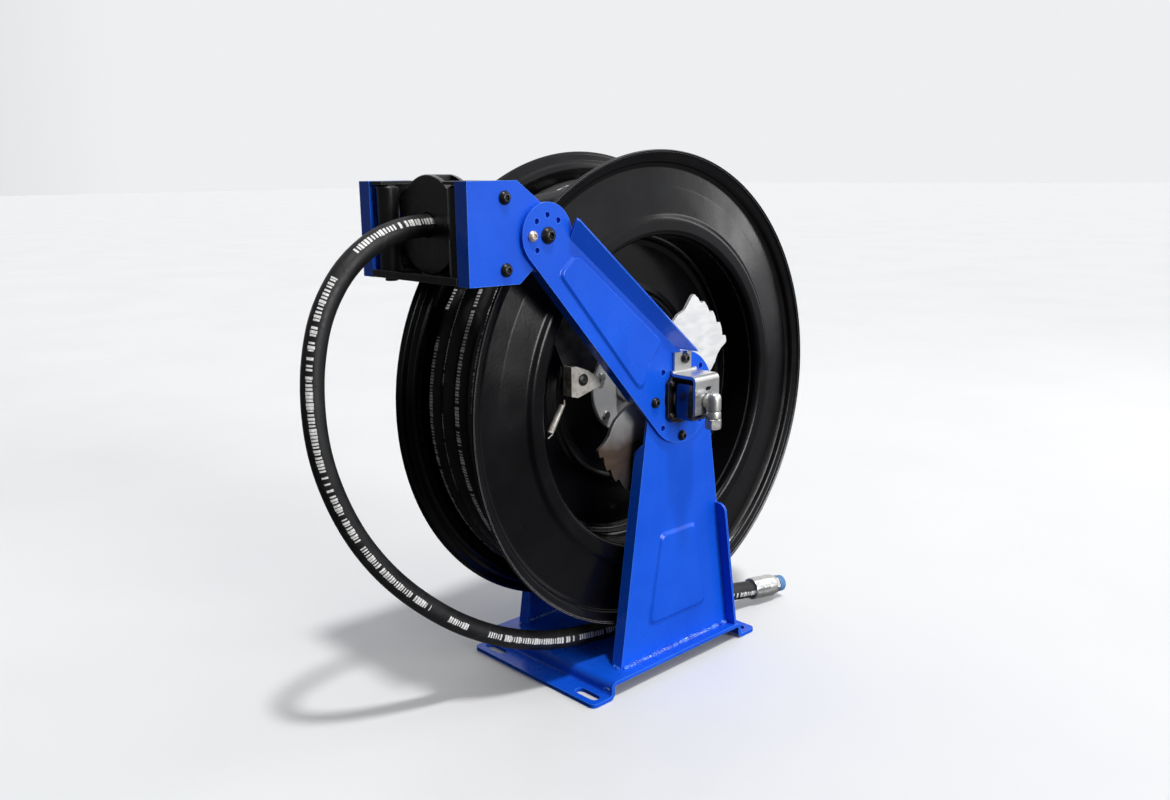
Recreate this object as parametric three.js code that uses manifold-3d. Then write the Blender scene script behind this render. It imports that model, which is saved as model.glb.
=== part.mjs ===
// Spring-rewind dual-pedestal hose reel for 1/2 inch hydraulic hose.
// Millimetres, +Z up. +X runs along the axle to the inlet side, -Y is the side where the hose leaves.
// Working frame: x = 0 midway between the posts, y = 0 at the axle, z = 0 on the floor.

import * as THREE from "three";
import { ConvexGeometry } from "three/addons/geometries/ConvexGeometry.js";
import { mergeVertices } from "three/addons/utils/BufferGeometryUtils.js";
import Module from "manifold-3d";

const wasm = await Module();
wasm.setup();

// ---------------------------------------------------------------- driving dimensions

const DISC_R = 245;                // outer radius of the drum's side discs
const DISC_X = 59;                 // rim plane of a disc, from the middle of the drum
const DRUM_X = -4;                 // the drum sits this far to the spring side
const BARREL_R = 160;              // inner radius of the drum's barrel
const AXLE_Z = 289;                // height of the axle
const SHEET = 2;                   // thickness of the drum's sheet

const BASE_HALF_X = 94;
const DECK_FRONT_Y = -112;
const DECK_REAR_Y = 92;
const FOOT_FRONT_Y = -138;
const FOOT_REAR_Y = 118;
const DECK_Z = 18;                 // top of the deck
const BASE_SHEET = 4;
const SLOT_X = 72;                 // middle of each foot slot
const SLOT_R = 5.5;
const SLOT_REACH = 10;             // from a slot's middle to the centre of its round end

const POST_X = 80;                 // outer face of a post
const POST_SHEET = 3;
const POST_HALF_Y = 85;            // at the deck
const POST_TOP_R = 43.5;           // round top about the axle
const POST_FLANGE = 10;            // front flange, bent inward
const REAR_FLANGE = 13;            // rear flange, bent outward
const REAR_FLANGE_TOP_Z = 163;

const ARM_SHEET = 3.7;
const ARM_GAP = 0.3;
const ARM_X = POST_X + ARM_GAP + ARM_SHEET;      // outer face of an arm
const ARM_LOW_R = 47;              // round end about the axle
const ARM_HIGH_R = 28.5;           // round end about the pivot
const PIVOT_Y = -177;
const PIVOT_Z = AXLE_Z + 170;
const ARM_BOLT_R = 40;             // bolt circle about the axle
const SET_BOLT_R = 17.5;           // bolt circle about the pivot
const LIP_DEPTH = 12;              // lower lip of an arm
const LIP_LENGTH = 182;

const HEAD_FRONT_Y = -260;
const HEAD_TOP_Z = 506;
const HEAD_LOW_Z = 420;
const HEAD_FLANGE = 16;
const HEAD_SCREW_Y = -221;
const HEAD_SCREW_Z = [432, 492];

const HOSE_R = 10;
const HOSE_Z = 468;                // height of the hose in the guide
const BUMPER_R = 43.5;
const BUMPER_FRONT_Y = -243;
const BUMPER_BACK_Y = -216.6;
const ROLLER_Y = -207.3;           // axis of the two level rollers
const ROLLER_R = 9;
const ROLLER_RISE = 23.5;          // level rollers above and below the middle of the guide
const GUIDE_Z = 467;
const SIDE_ROLLER_X = 53;
const SIDE_ROLLER_Y = -247.5;
const SIDE_ROLLER_R = 10;
const EAR_X = POST_X - POST_SHEET - 0.3;         // outer face of the guide brackets' ears
const EAR_REAR_Y = -190;
const EAR_CROP_Y = -205;           // where the ears' corners are cropped, and the roof's rear edge

const DRUM_SIDES = 32;
const RATCHET_X = 58;              // inner face of the ratchet plate
const RATCHET_SHEET = 4;
const RATCHET_TIP_R = 107.3;
const RATCHET_ROOT_R = 102.8;
const TOOTH_PITCH = 9.7;           // degrees
const FIRST_TIP = 27.5;            // degrees
const PAWL_PIVOT = [-112, 30];     // y and z from the axle
const PAWL_X = 53.5;               // inner face of the pawl, just behind the ratchet plate
const WEB_X = 5;                   // drum web, from the middle of the drum

const SWIVEL_HALF = 19.5;
const SWIVEL_START_X = 89.4;
const SWIVEL_END_X = 113.7;
const FLANGE_HALF = 25;
const FLANGE_RISE = 23;            // half the height of the flange on the inlet side
const STEM_R = 8;
const LEG_X = 125;                 // upright leg of the inlet elbow
const LEG_R = 7.6;
const NEAR_END_X = 133.6;          // outermost face on the inlet side
const FAR_END_X = -95.5;           // outermost face on the spring side
const LIP_FRONT_Y = -261;          // foremost face of the guide

// ---------------------------------------------------------------- materials

function paint(color, roughness, metalness) {
  return new THREE.MeshStandardMaterial({ color, roughness, metalness });
}

const BLUE = paint(0x0c3ccf, 0.3, 0.1);
const BLACK_SHEET = paint(0x0b0b0d, 0.32, 0.2);
const BLACK_STEEL = paint(0x141416, 0.5, 0.4);
const BLACK_PLASTIC = paint(0x101012, 0.6, 0);
const HOSE_RUBBER = paint(0x17181a, 0.7, 0);
const ZINC = paint(0xb9bec2, 0.4, 0.9);
const CHROME = paint(0xd5d8da, 0.12, 1);
const CAP_BLUE = paint(0x2d5f9a, 0.5, 0);
const SPRING_STEEL = paint(0x6d6a64, 0.45, 0.8);

// ---------------------------------------------------------------- solids from three.js shapes

const part = new THREE.Group();
part.position.set(-(NEAR_END_X + FAR_END_X) / 2, -(LIP_FRONT_Y + DISC_R) / 2, 0);

function outward(geometry) {
  const clean = geometry.clone();
  clean.deleteAttribute("normal");
  clean.deleteAttribute("uv");
  const merged = mergeVertices(clean, 1e-4);
  const at = merged.attributes.position;
  const index = merged.index.array;
  const [a, b, c] = [new THREE.Vector3(), new THREE.Vector3(), new THREE.Vector3()];
  let volume = 0;
  for (let i = 0; i < index.length; i += 3) {
    a.fromBufferAttribute(at, index[i]);
    b.fromBufferAttribute(at, index[i + 1]);
    c.fromBufferAttribute(at, index[i + 2]);
    volume += a.dot(b.cross(c));
  }
  if (volume < 0) {
    for (let i = 0; i < index.length; i += 3) {
      [index[i], index[i + 1]] = [index[i + 1], index[i]];
    }
  }
  return merged;
}

function solid(geometry) {
  const merged = outward(geometry);
  const vertProperties = new Float32Array(merged.attributes.position.array);
  const triVerts = new Uint32Array(merged.index.array);
  return new wasm.Manifold(new wasm.Mesh({ numProp: 3, vertProperties, triVerts }));
}

function shapeOf(manifold) {
  const mesh = manifold.getMesh();
  const geometry = new THREE.BufferGeometry();
  geometry.setAttribute("position", new THREE.BufferAttribute(new Float32Array(mesh.vertProperties), 3));
  geometry.setIndex(new THREE.BufferAttribute(new Uint32Array(mesh.triVerts), 1));
  return geometry;
}

function join(pieces, cuts = []) {
  let body = solid(pieces[0]);
  for (const piece of pieces.slice(1)) {
    body = body.add(solid(piece));
  }
  for (const cut of cuts) {
    body = body.subtract(solid(cut));
  }
  return shapeOf(body);
}

function add(name, geometry, material) {
  const flat = outward(geometry).toNonIndexed();
  flat.computeVertexNormals();
  const mesh = new THREE.Mesh(flat, material);
  mesh.name = name;
  part.add(mesh);
}

const X = new THREE.Vector3(1, 0, 0);
const Y = new THREE.Vector3(0, 1, 0);
const Z = new THREE.Vector3(0, 0, 1);

function outline(points) {
  return new THREE.Shape(points.map(([u, v]) => new THREE.Vector2(u, v)));
}

// A flat shape, given as y and z, made thick along X.
function plateX(shape, from, to, curveSegments = 12) {
  const depth = to - from;
  const geometry = new THREE.ExtrudeGeometry(shape, { depth, bevelEnabled: false, curveSegments });
  return geometry.applyMatrix4(new THREE.Matrix4().makeBasis(Y, Z, X).setPosition(from, 0, 0));
}

// A flat shape, given as x and y, made thick along Z.
function plateZ(shape, from, to) {
  const depth = to - from;
  const geometry = new THREE.ExtrudeGeometry(shape, { depth, bevelEnabled: false, curveSegments: 6 });
  return geometry.translate(0, 0, from);
}

function box(x0, x1, y0, y1, z0, z1) {
  const geometry = new THREE.BoxGeometry(x1 - x0, y1 - y0, z1 - z0);
  return geometry.translate((x0 + x1) / 2, (y0 + y1) / 2, (z0 + z1) / 2);
}

function rodX(radius, x0, x1, y, z, sides = 16) {
  const geometry = new THREE.CylinderGeometry(radius, radius, x1 - x0, sides);
  return geometry.rotateZ(-Math.PI / 2).translate((x0 + x1) / 2, y, z);
}

function rodY(radius, y0, y1, x, z, sides = 16) {
  return new THREE.CylinderGeometry(radius, radius, y1 - y0, sides).translate(x, (y0 + y1) / 2, z);
}

function rodZ(radius, z0, z1, x, y, sides = 16) {
  const geometry = new THREE.CylinderGeometry(radius, radius, z1 - z0, sides);
  return geometry.rotateX(Math.PI / 2).translate(x, y, (z0 + z1) / 2);
}

// A profile of [x, radius] points turned about the axle.
function turnedX(profile, sides, y = 0, z = AXLE_Z) {
  const closed = [...profile, profile[0]].map(([x, r]) => new THREE.Vector2(r, x));
  return new THREE.LatheGeometry(closed, sides).rotateZ(-Math.PI / 2).translate(0, y, z);
}

// A line of [x, radius] points given the thickness of the sheet.
function sheetProfile(line, thickness) {
  const near = [];
  const far = [];
  line.forEach(([x, r], i) => {
    const [x0, r0] = line[Math.max(i - 1, 0)];
    const [x1, r1] = line[Math.min(i + 1, line.length - 1)];
    const length = Math.hypot(x1 - x0, r1 - r0);
    const nx = (r1 - r0) / length * thickness / 2;
    const nr = (x0 - x1) / length * thickness / 2;
    near.push([x + nx, r + nr]);
    far.unshift([x - nx, r - nr]);
  });
  return [...near, ...far];
}

function mirrored(geometry) {
  return geometry.clone().scale(-1, 1, 1);
}

function screwX(radius, x0, x1, headRadius, headHeight, y, z) {
  const profile = [
    [x0, 0.01],
    [x0, radius],
    [x1, radius],
    [x1, headRadius],
    [x1 + headHeight * 0.55, headRadius],
    [x1 + headHeight, headRadius * 0.6],
    [x1 + headHeight, 0.01],
  ];
  const turned = profile.map(([x, r]) => new THREE.Vector2(r < 0.1 ? 0 : r, x));
  return new THREE.LatheGeometry(turned, 8).rotateZ(-Math.PI / 2).translate(0, y, z);
}

// ---------------------------------------------------------------- base and posts

function basePlate() {
  const profile = outline([
    [FOOT_FRONT_Y, 0],
    [DECK_FRONT_Y + BASE_SHEET, 0],
    [DECK_FRONT_Y + BASE_SHEET, DECK_Z - BASE_SHEET],
    [DECK_REAR_Y - BASE_SHEET, DECK_Z - BASE_SHEET],
    [DECK_REAR_Y - BASE_SHEET, 0],
    [FOOT_REAR_Y, 0],
    [FOOT_REAR_Y, BASE_SHEET],
    [DECK_REAR_Y, BASE_SHEET],
    [DECK_REAR_Y, DECK_Z],
    [DECK_FRONT_Y, DECK_Z],
    [DECK_FRONT_Y, BASE_SHEET],
    [FOOT_FRONT_Y, BASE_SHEET],
  ]);
  const slots = [];
  for (const side of [-1, 1]) {
    for (const y of [-125, 105]) {
      const slot = new THREE.Shape();
      slot.absarc(side * SLOT_X - SLOT_REACH, y, SLOT_R, Math.PI / 2, Math.PI * 1.5);
      slot.absarc(side * SLOT_X + SLOT_REACH, y, SLOT_R, -Math.PI / 2, Math.PI / 2);
      slots.push(plateZ(slot, -1, BASE_SHEET + 1));
    }
  }
  return join([plateX(profile, -BASE_HALF_X, BASE_HALF_X)], slots);
}

function taperAt(z) {
  const slope = (POST_HALF_Y - POST_TOP_R) / (AXLE_Z - DECK_Z);
  return POST_HALF_Y - (z - DECK_Z) * slope;
}

// One post: tapered plate, inward flange in front, outward flange behind, raised panel.
function post() {
  const plate = new THREE.Shape();
  plate.moveTo(-POST_HALF_Y, DECK_Z);
  plate.lineTo(POST_HALF_Y, DECK_Z);
  plate.lineTo(POST_TOP_R, AXLE_Z);
  plate.absarc(0, AXLE_Z, POST_TOP_R, 0, Math.PI);
  const frontTop = 246;
  const front = outline([
    [-POST_HALF_Y, DECK_Z],
    [POST_SHEET - POST_HALF_Y, DECK_Z],
    [POST_SHEET - taperAt(frontTop), frontTop],
    [-taperAt(frontTop), frontTop],
  ]);
  const rear = outline([
    [POST_HALF_Y - POST_SHEET, DECK_Z],
    [POST_HALF_Y, DECK_Z],
    [taperAt(REAR_FLANGE_TOP_Z), REAR_FLANGE_TOP_Z],
    [taperAt(REAR_FLANGE_TOP_Z) - POST_SHEET, REAR_FLANGE_TOP_Z],
  ]);
  const panel = outline([[-47, 52], [47, 52], [28, 150], [-28, 150]]);
  const inner = POST_X - POST_SHEET;
  return join(
    [
      plateX(plate, inner, POST_X, 12),
      plateX(front, inner - POST_FLANGE, POST_X),
      plateX(rear, inner, POST_X + REAR_FLANGE),
      plateX(panel, inner, POST_X + 2),
    ],
    [rodX(26.4, inner - 1, POST_X + 3, 0, AXLE_Z, 20)],
  );
}

// ---------------------------------------------------------------- arms and guide head

// A point on the arm: distance down the line from pivot to axle, distance above that line, and x.
const ARM_REACH = Math.hypot(PIVOT_Y, PIVOT_Z - AXLE_Z);
const ARM_RUN = new THREE.Vector3(0, -PIVOT_Y / ARM_REACH, (AXLE_Z - PIVOT_Z) / ARM_REACH);
const ARM_RISE = new THREE.Vector3(0, -ARM_RUN.z, ARM_RUN.y);

function armPoint(down, above, x) {
  const pivot = new THREE.Vector3(x, PIVOT_Y, PIVOT_Z);
  return pivot.addScaledVector(ARM_RUN, down).addScaledVector(ARM_RISE, above);
}

function armOutline(points) {
  return outline(points.map(([down, above]) => {
    const at = armPoint(down, above, 0);
    return [at.y, at.z];
  }));
}

// The arm's upper flange: bent outward at 45 degrees, its ends flaring round the arm's round ends.
function armFlange() {
  const ends = [
    { bend: [22, 15.9], edge: [8, 27], rise: 11.5 },
    { bend: [205, 31.8], edge: [224, 42.4], rise: 9 },
  ];
  const corners = ends.flatMap(({ bend, edge, rise }) => [
    armPoint(bend[0], bend[1] - 1.5, ARM_X - ARM_SHEET),
    armPoint(bend[0], bend[1] - 1.5, ARM_X),
    armPoint(edge[0], edge[1], ARM_X + rise),
    armPoint(edge[0], edge[1] + 2.6, ARM_X + rise - 2.6),
  ]);
  return new ConvexGeometry(corners);
}

// Arm: round ends about the axle and the pivot, lower lip bent inward, raised panel, bolt holes.
function arm() {
  const along = Math.atan2(PIVOT_Z - AXLE_Z, PIVOT_Y);
  const tangent = along + Math.acos((ARM_LOW_R - ARM_HIGH_R) / ARM_REACH);
  const plate = new THREE.Shape();
  plate.absarc(0, AXLE_Z, ARM_LOW_R, tangent, Math.PI * 2 + 1.61);
  plate.absarc(PIVOT_Y, PIVOT_Z, ARM_HIGH_R, -0.17, tangent);
  const lip = new THREE.BoxGeometry(LIP_DEPTH, LIP_LENGTH, 3);
  const outwards = new THREE.Vector3(0, Math.cos(tangent), Math.sin(tangent));
  const down = new THREE.Vector3(0, -Math.sin(tangent), Math.cos(tangent));
  const lipAt = new THREE.Vector3(ARM_X - LIP_DEPTH / 2, PIVOT_Y, PIVOT_Z)
    .addScaledVector(outwards, ARM_HIGH_R - 1.5)
    .addScaledVector(down, 16 + LIP_LENGTH / 2);
  lip.applyMatrix4(new THREE.Matrix4().makeBasis(X, down, X.clone().cross(down)).setPosition(lipAt));
  const panel = armOutline([[31, -18], [34, 6], [41, 13], [184, 24], [182, 0], [197, -34]]);
  const holes = [rodX(26.4, ARM_X - 9, ARM_X + 3, 0, AXLE_Z, 20)];
  const punch = (radius, y, z) => holes.push(rodX(radius * 1.16, ARM_X - 9, ARM_X + 3, y, z, 6));
  for (let i = 0; i < 8; i += 1) {
    const turn = i * Math.PI / 4;
    punch(3.2, ARM_BOLT_R * Math.cos(turn), AXLE_Z + ARM_BOLT_R * Math.sin(turn));
  }
  punch(4.4, PIVOT_Y, PIVOT_Z);
  for (const degrees of [45, 90, 135, 180, 225]) {
    const turn = THREE.MathUtils.degToRad(degrees);
    punch(2.6, PIVOT_Y + SET_BOLT_R * Math.cos(turn), PIVOT_Z + SET_BOLT_R * Math.sin(turn));
  }
  const sheet = plateX(plate, ARM_X - ARM_SHEET, ARM_X, 10);
  const raised = plateX(panel, ARM_X - ARM_SHEET, ARM_X + 2);
  return join([sheet, armFlange(), lip, raised], holes);
}

// Guide head plate: square front with an inward flange, round rear end about the pivot.
function headPlate() {
  const rearR = 27;
  const plate = new THREE.Shape();
  plate.moveTo(HEAD_FRONT_Y, HEAD_LOW_Z);
  plate.lineTo(-206, HEAD_LOW_Z - 1);
  plate.absarc(PIVOT_Y, PIVOT_Z, rearR, -1.95, 1.65);
  plate.lineTo(-207, HEAD_TOP_Z);
  plate.lineTo(HEAD_FRONT_Y, HEAD_TOP_Z);
  const inner = POST_X - POST_SHEET;
  const cuts = [rodX(4.4, inner - 1, POST_X + 1, PIVOT_Y, PIVOT_Z, 8)];
  cuts.push(rodX(2.6, inner - 1, POST_X + 1, PIVOT_Y - SET_BOLT_R, PIVOT_Z, 8));
  for (const z of HEAD_SCREW_Z) {
    cuts.push(rodX(3.3, inner - 1, POST_X + 1, HEAD_SCREW_Y, z, 12));
  }
  return join(
    [
      plateX(plate, inner, POST_X, 12),
      box(POST_X - HEAD_FLANGE, POST_X, HEAD_FRONT_Y, HEAD_FRONT_Y + POST_SHEET, HEAD_LOW_Z, HEAD_TOP_Z),
    ],
    cuts,
  );
}

// Lower guide bracket: floor with a front lip, and ears that hold the level roller's axle.
function lowerBracket() {
  const floorZ = 420.5;
  const front = LIP_FRONT_Y;
  const inner = POST_X - HEAD_FLANGE - 0.4;
  const pieces = [
    box(-inner, inner, front, -240, floorZ, floorZ + 3),
    box(-EAR_X, EAR_X, -250, -212, floorZ, floorZ + 3),
    box(-inner, inner, front, front + 2.5, floorZ, floorZ + 6.5),
  ];
  const cuts = [];
  for (const side of [-1, 1]) {
    const [a, b] = side < 0 ? [-EAR_X, 3 - EAR_X] : [EAR_X - 3, EAR_X];
    const ear = outline([
      [-240, floorZ],
      [EAR_CROP_Y, floorZ],
      [EAR_REAR_Y, 433],
      [EAR_REAR_Y, 452],
      [-240, 452],
    ]);
    pieces.push(plateX(ear, a, b));
    cuts.push(rodX(4.3, a - 1, b + 1, ROLLER_Y, GUIDE_Z - ROLLER_RISE, 16));
    cuts.push(rodX(3.3, a - 1, b + 1, HEAD_SCREW_Y, HEAD_SCREW_Z[0], 8));
    cuts.push(rodZ(3.3, floorZ - 1, floorZ + 4, side * SIDE_ROLLER_X, SIDE_ROLLER_Y, 8));
  }
  return join(pieces, cuts);
}

// Upper guide bracket: roof with a notch over the bumper, and ears for the upper axle.
function upperBracket() {
  const roofZ = 503;
  const inner = POST_X - HEAD_FLANGE - 0.4;
  const roof = outline([
    [-inner, -259],
    [-45.5, -259],
    [-45.5, -214.5],
    [45.5, -214.5],
    [45.5, -259],
    [inner, -259],
    [inner, -250],
    [EAR_X, -250],
    [EAR_X, EAR_CROP_Y],
    [-EAR_X, EAR_CROP_Y],
    [-EAR_X, -250],
    [-inner, -250],
  ]);
  const pieces = [plateZ(roof, roofZ, HEAD_TOP_Z - 0.2)];
  const cuts = [];
  for (const side of [-1, 1]) {
    const [a, b] = side < 0 ? [-EAR_X, 3 - EAR_X] : [EAR_X - 3, EAR_X];
    const ear = outline([
      [-240, 476],
      [EAR_REAR_Y, 476],
      [EAR_REAR_Y, 493],
      [EAR_CROP_Y, roofZ + 1],
      [-240, roofZ + 1],
    ]);
    pieces.push(plateX(ear, a, b));
    cuts.push(rodX(4.3, a - 1, b + 1, ROLLER_Y, GUIDE_Z + ROLLER_RISE, 16));
    cuts.push(rodX(3.3, a - 1, b + 1, HEAD_SCREW_Y, HEAD_SCREW_Z[1], 8));
    cuts.push(rodZ(3.3, roofZ - 1, roofZ + 4, side * SIDE_ROLLER_X, SIDE_ROLLER_Y, 8));
  }
  return join(pieces, cuts);
}

function levelRoller(z) {
  const half = 72;
  const profile = [
    [-half, 4.4],
    [-half, ROLLER_R - 1],
    [1 - half, ROLLER_R],
    [half - 1, ROLLER_R],
    [half, ROLLER_R - 1],
    [half, 4.4],
  ];
  return turnedX(profile, 12, ROLLER_Y, z);
}

function sideRoller(x) {
  const profile = [
    [424.5, 3.4],
    [424.5, SIDE_ROLLER_R - 1],
    [425.5, SIDE_ROLLER_R],
    [501, SIDE_ROLLER_R],
    [502, SIDE_ROLLER_R - 1],
    [502, 3.4],
  ];
  const closed = [...profile, profile[0]].map(([z, r]) => new THREE.Vector2(r, z));
  return new THREE.LatheGeometry(closed, 12).rotateX(Math.PI / 2).translate(x, SIDE_ROLLER_Y, 0);
}

function sideRollerBolt(x) {
  const profile = [[416.5, 0], [416.5, 4.5], [418, 6], [420.2, 6], [420.2, 3], [505.5, 3], [505.5, 0]];
  const points = profile.map(([z, r]) => new THREE.Vector2(r, z));
  return new THREE.LatheGeometry(points, 8).rotateX(Math.PI / 2).translate(x, SIDE_ROLLER_Y, 0);
}

// Half of the hose bumper: a half round block with half of the hose's bore and two screw wells.
function bumperHalf(side) {
  const disc = rodY(BUMPER_R, BUMPER_FRONT_Y, BUMPER_BACK_Y, 0, HOSE_Z, 28);
  const [low, high] = side > 0 ? [HOSE_Z - 60, HOSE_Z + 0.25] : [HOSE_Z - 0.25, HOSE_Z + 60];
  const middleY = (BUMPER_FRONT_Y + BUMPER_BACK_Y) / 2;
  const cuts = [
    box(-60, 60, BUMPER_FRONT_Y - 1, BUMPER_BACK_Y + 1, low, high),
    rodY(HOSE_R + 0.4, BUMPER_FRONT_Y - 1, BUMPER_BACK_Y + 1, 0, HOSE_Z, 16),
  ];
  for (const x of [-29, 29]) {
    cuts.push(rodZ(3.3, HOSE_Z - 25, HOSE_Z + 25, x, middleY, 8));
    const well = side > 0 ? [HOSE_Z + 17, HOSE_Z + 50] : [HOSE_Z - 50, HOSE_Z - 17];
    cuts.push(rodZ(6.5, well[0], well[1], x, middleY, 12));
  }
  return join([disc], cuts);
}

function bumperScrew(x) {
  const middleY = (BUMPER_FRONT_Y + BUMPER_BACK_Y) / 2;
  const low = HOSE_Z - 17.3;
  const high = HOSE_Z + 17.3;
  const profile = [
    [low - 5, 0],
    [low - 5, 5],
    [low, 5],
    [low, 3],
    [high, 3],
    [high, 5],
    [high + 5, 5],
    [high + 5, 0],
  ];
  const points = profile.map(([z, r]) => new THREE.Vector2(r, z));
  return new THREE.LatheGeometry(points, 8).rotateX(Math.PI / 2).translate(x, middleY, 0);
}

// ---------------------------------------------------------------- axle, swivel and ratchet

function bearingHousing() {
  const half = FLANGE_HALF;
  const rise = FLANGE_RISE;
  const flange = outline([
    [-half, AXLE_Z - rise + 6],
    [-half + 6, AXLE_Z - rise],
    [half - 6, AXLE_Z - rise],
    [half, AXLE_Z - rise + 6],
    [half, AXLE_Z + rise - 6],
    [half - 6, AXLE_Z + rise],
    [-half + 6, AXLE_Z + rise],
    [-half, AXLE_Z + rise - 6],
  ]);
  const bodyStart = RATCHET_X + RATCHET_SHEET + 0.3;
  return join(
    [
      plateX(flange, ARM_X + 0.3, ARM_X + 4),
      rodX(26, bodyStart, ARM_X, 0, AXLE_Z, 20),
      rodX(22.5, ARM_X - 1, ARM_X + 1, 0, AXLE_Z, 20),
    ],
    [rodX(17.5, bodyStart - 1, ARM_X + 5, 0, AXLE_Z, 20)],
  );
}

function farFlange() {
  const half = FLANGE_HALF;
  const flange = outline([
    [-half, AXLE_Z - half],
    [half, AXLE_Z - half],
    [half, AXLE_Z + half],
    [-half, AXLE_Z + half],
  ]);
  return join(
    [plateX(flange, -ARM_X - 4, -ARM_X - 0.3), rodX(25.9, -ARM_X - 1, -POST_X + POST_SHEET, 0, AXLE_Z, 20)],
    [rodX(12.5, -ARM_X - 5, -60, 0, AXLE_Z, 20)],
  );
}

// Ratchet plate: two toothed lobes on opposite sides of a narrower waist.
function ratchetPlate() {
  const teeth = 5;
  const leadingSide = [[1.6, 49], [8.7, 65], [12, 74], [16.5, 82], [20, 87], [22.5, 95]];
  const trailingSide = [[70.5, 88], [76.8, 81], [80, 75], [92, 65], [112, 54], [140, 49]];
  const points = [];
  const polar = (degrees, radius) => {
    const turn = THREE.MathUtils.degToRad(degrees);
    points.push([radius * Math.cos(turn), AXLE_Z + radius * Math.sin(turn)]);
  };
  for (const lobe of [0, 180]) {
    leadingSide.forEach(([degrees, radius]) => polar(lobe + degrees, radius));
    for (let i = 0; i < teeth; i += 1) {
      const tip = lobe + FIRST_TIP + i * TOOTH_PITCH;
      polar(tip - 4, RATCHET_TIP_R - 1.5);
      polar(tip, RATCHET_TIP_R);
      polar(tip + 1.4, RATCHET_ROOT_R);
    }
    trailingSide.forEach(([degrees, radius]) => polar(lobe + degrees, radius));
  }
  const sheet = plateX(outline(points), RATCHET_X, RATCHET_X + RATCHET_SHEET);
  return join([sheet], [rodX(17.7, RATCHET_X - 1, RATCHET_X + RATCHET_SHEET + 1, 0, AXLE_Z, 20)]);
}

// Rotating hollow shaft: it carries the drum and ends inside the swivel.
function hubShaft() {
  const profile = [
    [-26, 8],
    [-26, 17],
    [89, 17],
    [89, 10],
    [102, 10],
    [102, 8],
  ];
  return turnedX(profile, 20);
}

// Flange that holds the shaft to the drum's web.
function hubFlange() {
  const start = DRUM_X + WEB_X + SHEET / 2 + 0.3;
  return turnedX([[start, 17.3], [start, 50], [start + 5, 50], [start + 5, 17.3]], DRUM_SIDES);
}

function swivelBody() {
  const half = SWIVEL_HALF;
  const cut = 3;
  const square = outline([
    [-half, AXLE_Z - half + cut],
    [-half + cut, AXLE_Z - half],
    [half - cut, AXLE_Z - half],
    [half, AXLE_Z - half + cut],
    [half, AXLE_Z + half - cut],
    [half - cut, AXLE_Z + half],
    [-half + cut, AXLE_Z + half],
    [-half, AXLE_Z + half - cut],
  ]);
  const bore = rodX(10.5, SWIVEL_START_X - 1, 102.5, 0, AXLE_Z, 20);
  return join([plateX(square, SWIVEL_START_X, SWIVEL_END_X)], [bore]);
}

function inletElbow() {
  const across = rodX(STEM_R, 117.6, LEG_X, 0, AXLE_Z, 20);
  const leg = rodZ(LEG_R, AXLE_Z - 15.5, AXLE_Z + 5, LEG_X, 0, 20);
  const crown = new THREE.SphereGeometry(7.5, 12, 8).translate(LEG_X, 0, AXLE_Z + 3.2);
  return join([across, leg, crown]);
}

// Stay bracket: tab on the arm, shelf over the swivel, face that holds the stem still.
function stayBracket() {
  const back = ARM_X + 0.3;
  const face = SWIVEL_END_X + 0.3;
  const shelfZ = AXLE_Z + FLANGE_RISE + 0.4;
  return join(
    [
      box(back, back + 3, -9, 9, shelfZ, AXLE_Z + 47),
      box(back, face + 3, -18, 18, shelfZ, shelfZ + 3),
      box(face, face + 3, -18, 18, AXLE_Z - 12, shelfZ + 3),
    ],
    [
      rodX(3.4, back - 1, back + 4, 0, AXLE_Z + ARM_BOLT_R, 12),
      rodX(8.4, face - 1, face + 4, 0, AXLE_Z, 20),
      rodX(2.5, face - 1, face + 4, 2, AXLE_Z + 15, 12),
    ],
  );
}

// ---------------------------------------------------------------- drum

// Pressed side disc: rolled lip at the mouth, dished face, stepped and rolled rim.
function discProfile() {
  const line = [
    [51, 161],
    [58, 161],
    [61, 166],
    [61, 175],
    [57.5, 180],
    [49, 227],
    [54.5, 233],
    [56, 241],
    [DISC_X - 0.8, DISC_R - 0.8],
  ];
  return sheetProfile(line, SHEET);
}

function discSolid(side) {
  const profile = discProfile().map(([x, r]) => [DRUM_X + side * x, r]);
  return turnedX(profile, DRUM_SIDES);
}

function barrel() {
  const half = 50;
  const profile = [
    [DRUM_X - half, BARREL_R],
    [DRUM_X - half, BARREL_R + SHEET],
    [DRUM_X + half, BARREL_R + SHEET],
    [DRUM_X + half, BARREL_R],
  ];
  return turnedX(profile, DRUM_SIDES);
}

function web() {
  const line = [
    [WEB_X, 17.6],
    [WEB_X, 94],
    [WEB_X + 3, 99],
    [WEB_X, 104],
    [WEB_X, 150],
    [WEB_X + 9, 158.2],
  ];
  return turnedX(sheetProfile(line, SHEET).map(([x, r]) => [DRUM_X + x, r]), DRUM_SIDES);
}

function springCanister() {
  const profile = [
    [3.6, 108],
    [3.6, 110],
    [-46, 110],
    [-46, 14],
    [-44, 14],
    [-44, 108],
  ];
  return turnedX(profile.map(([x, r]) => [DRUM_X + x, r]), DRUM_SIDES);
}

function powerSpring() {
  const profile = [
    [-40, 36],
    [-40, 98],
    [-2, 98],
    [-2, 36],
  ];
  return turnedX(profile.map(([x, r]) => [DRUM_X + x, r]), 24);
}

function woundHose() {
  const profile = [
    [-47, BARREL_R + SHEET + 0.4],
    [-47, 213],
    [-40, 217],
    [5, 217],
    [5, 197.6],
    [47, 197.6],
    [47, BARREL_R + SHEET + 0.4],
  ];
  return turnedX(profile.map(([x, r]) => [DRUM_X + x, r]), DRUM_SIDES);
}

// ---------------------------------------------------------------- latch

function polarPoint(degrees, radius) {
  const turn = THREE.MathUtils.degToRad(degrees);
  return [radius * Math.cos(turn), AXLE_Z + radius * Math.sin(turn)];
}

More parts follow.
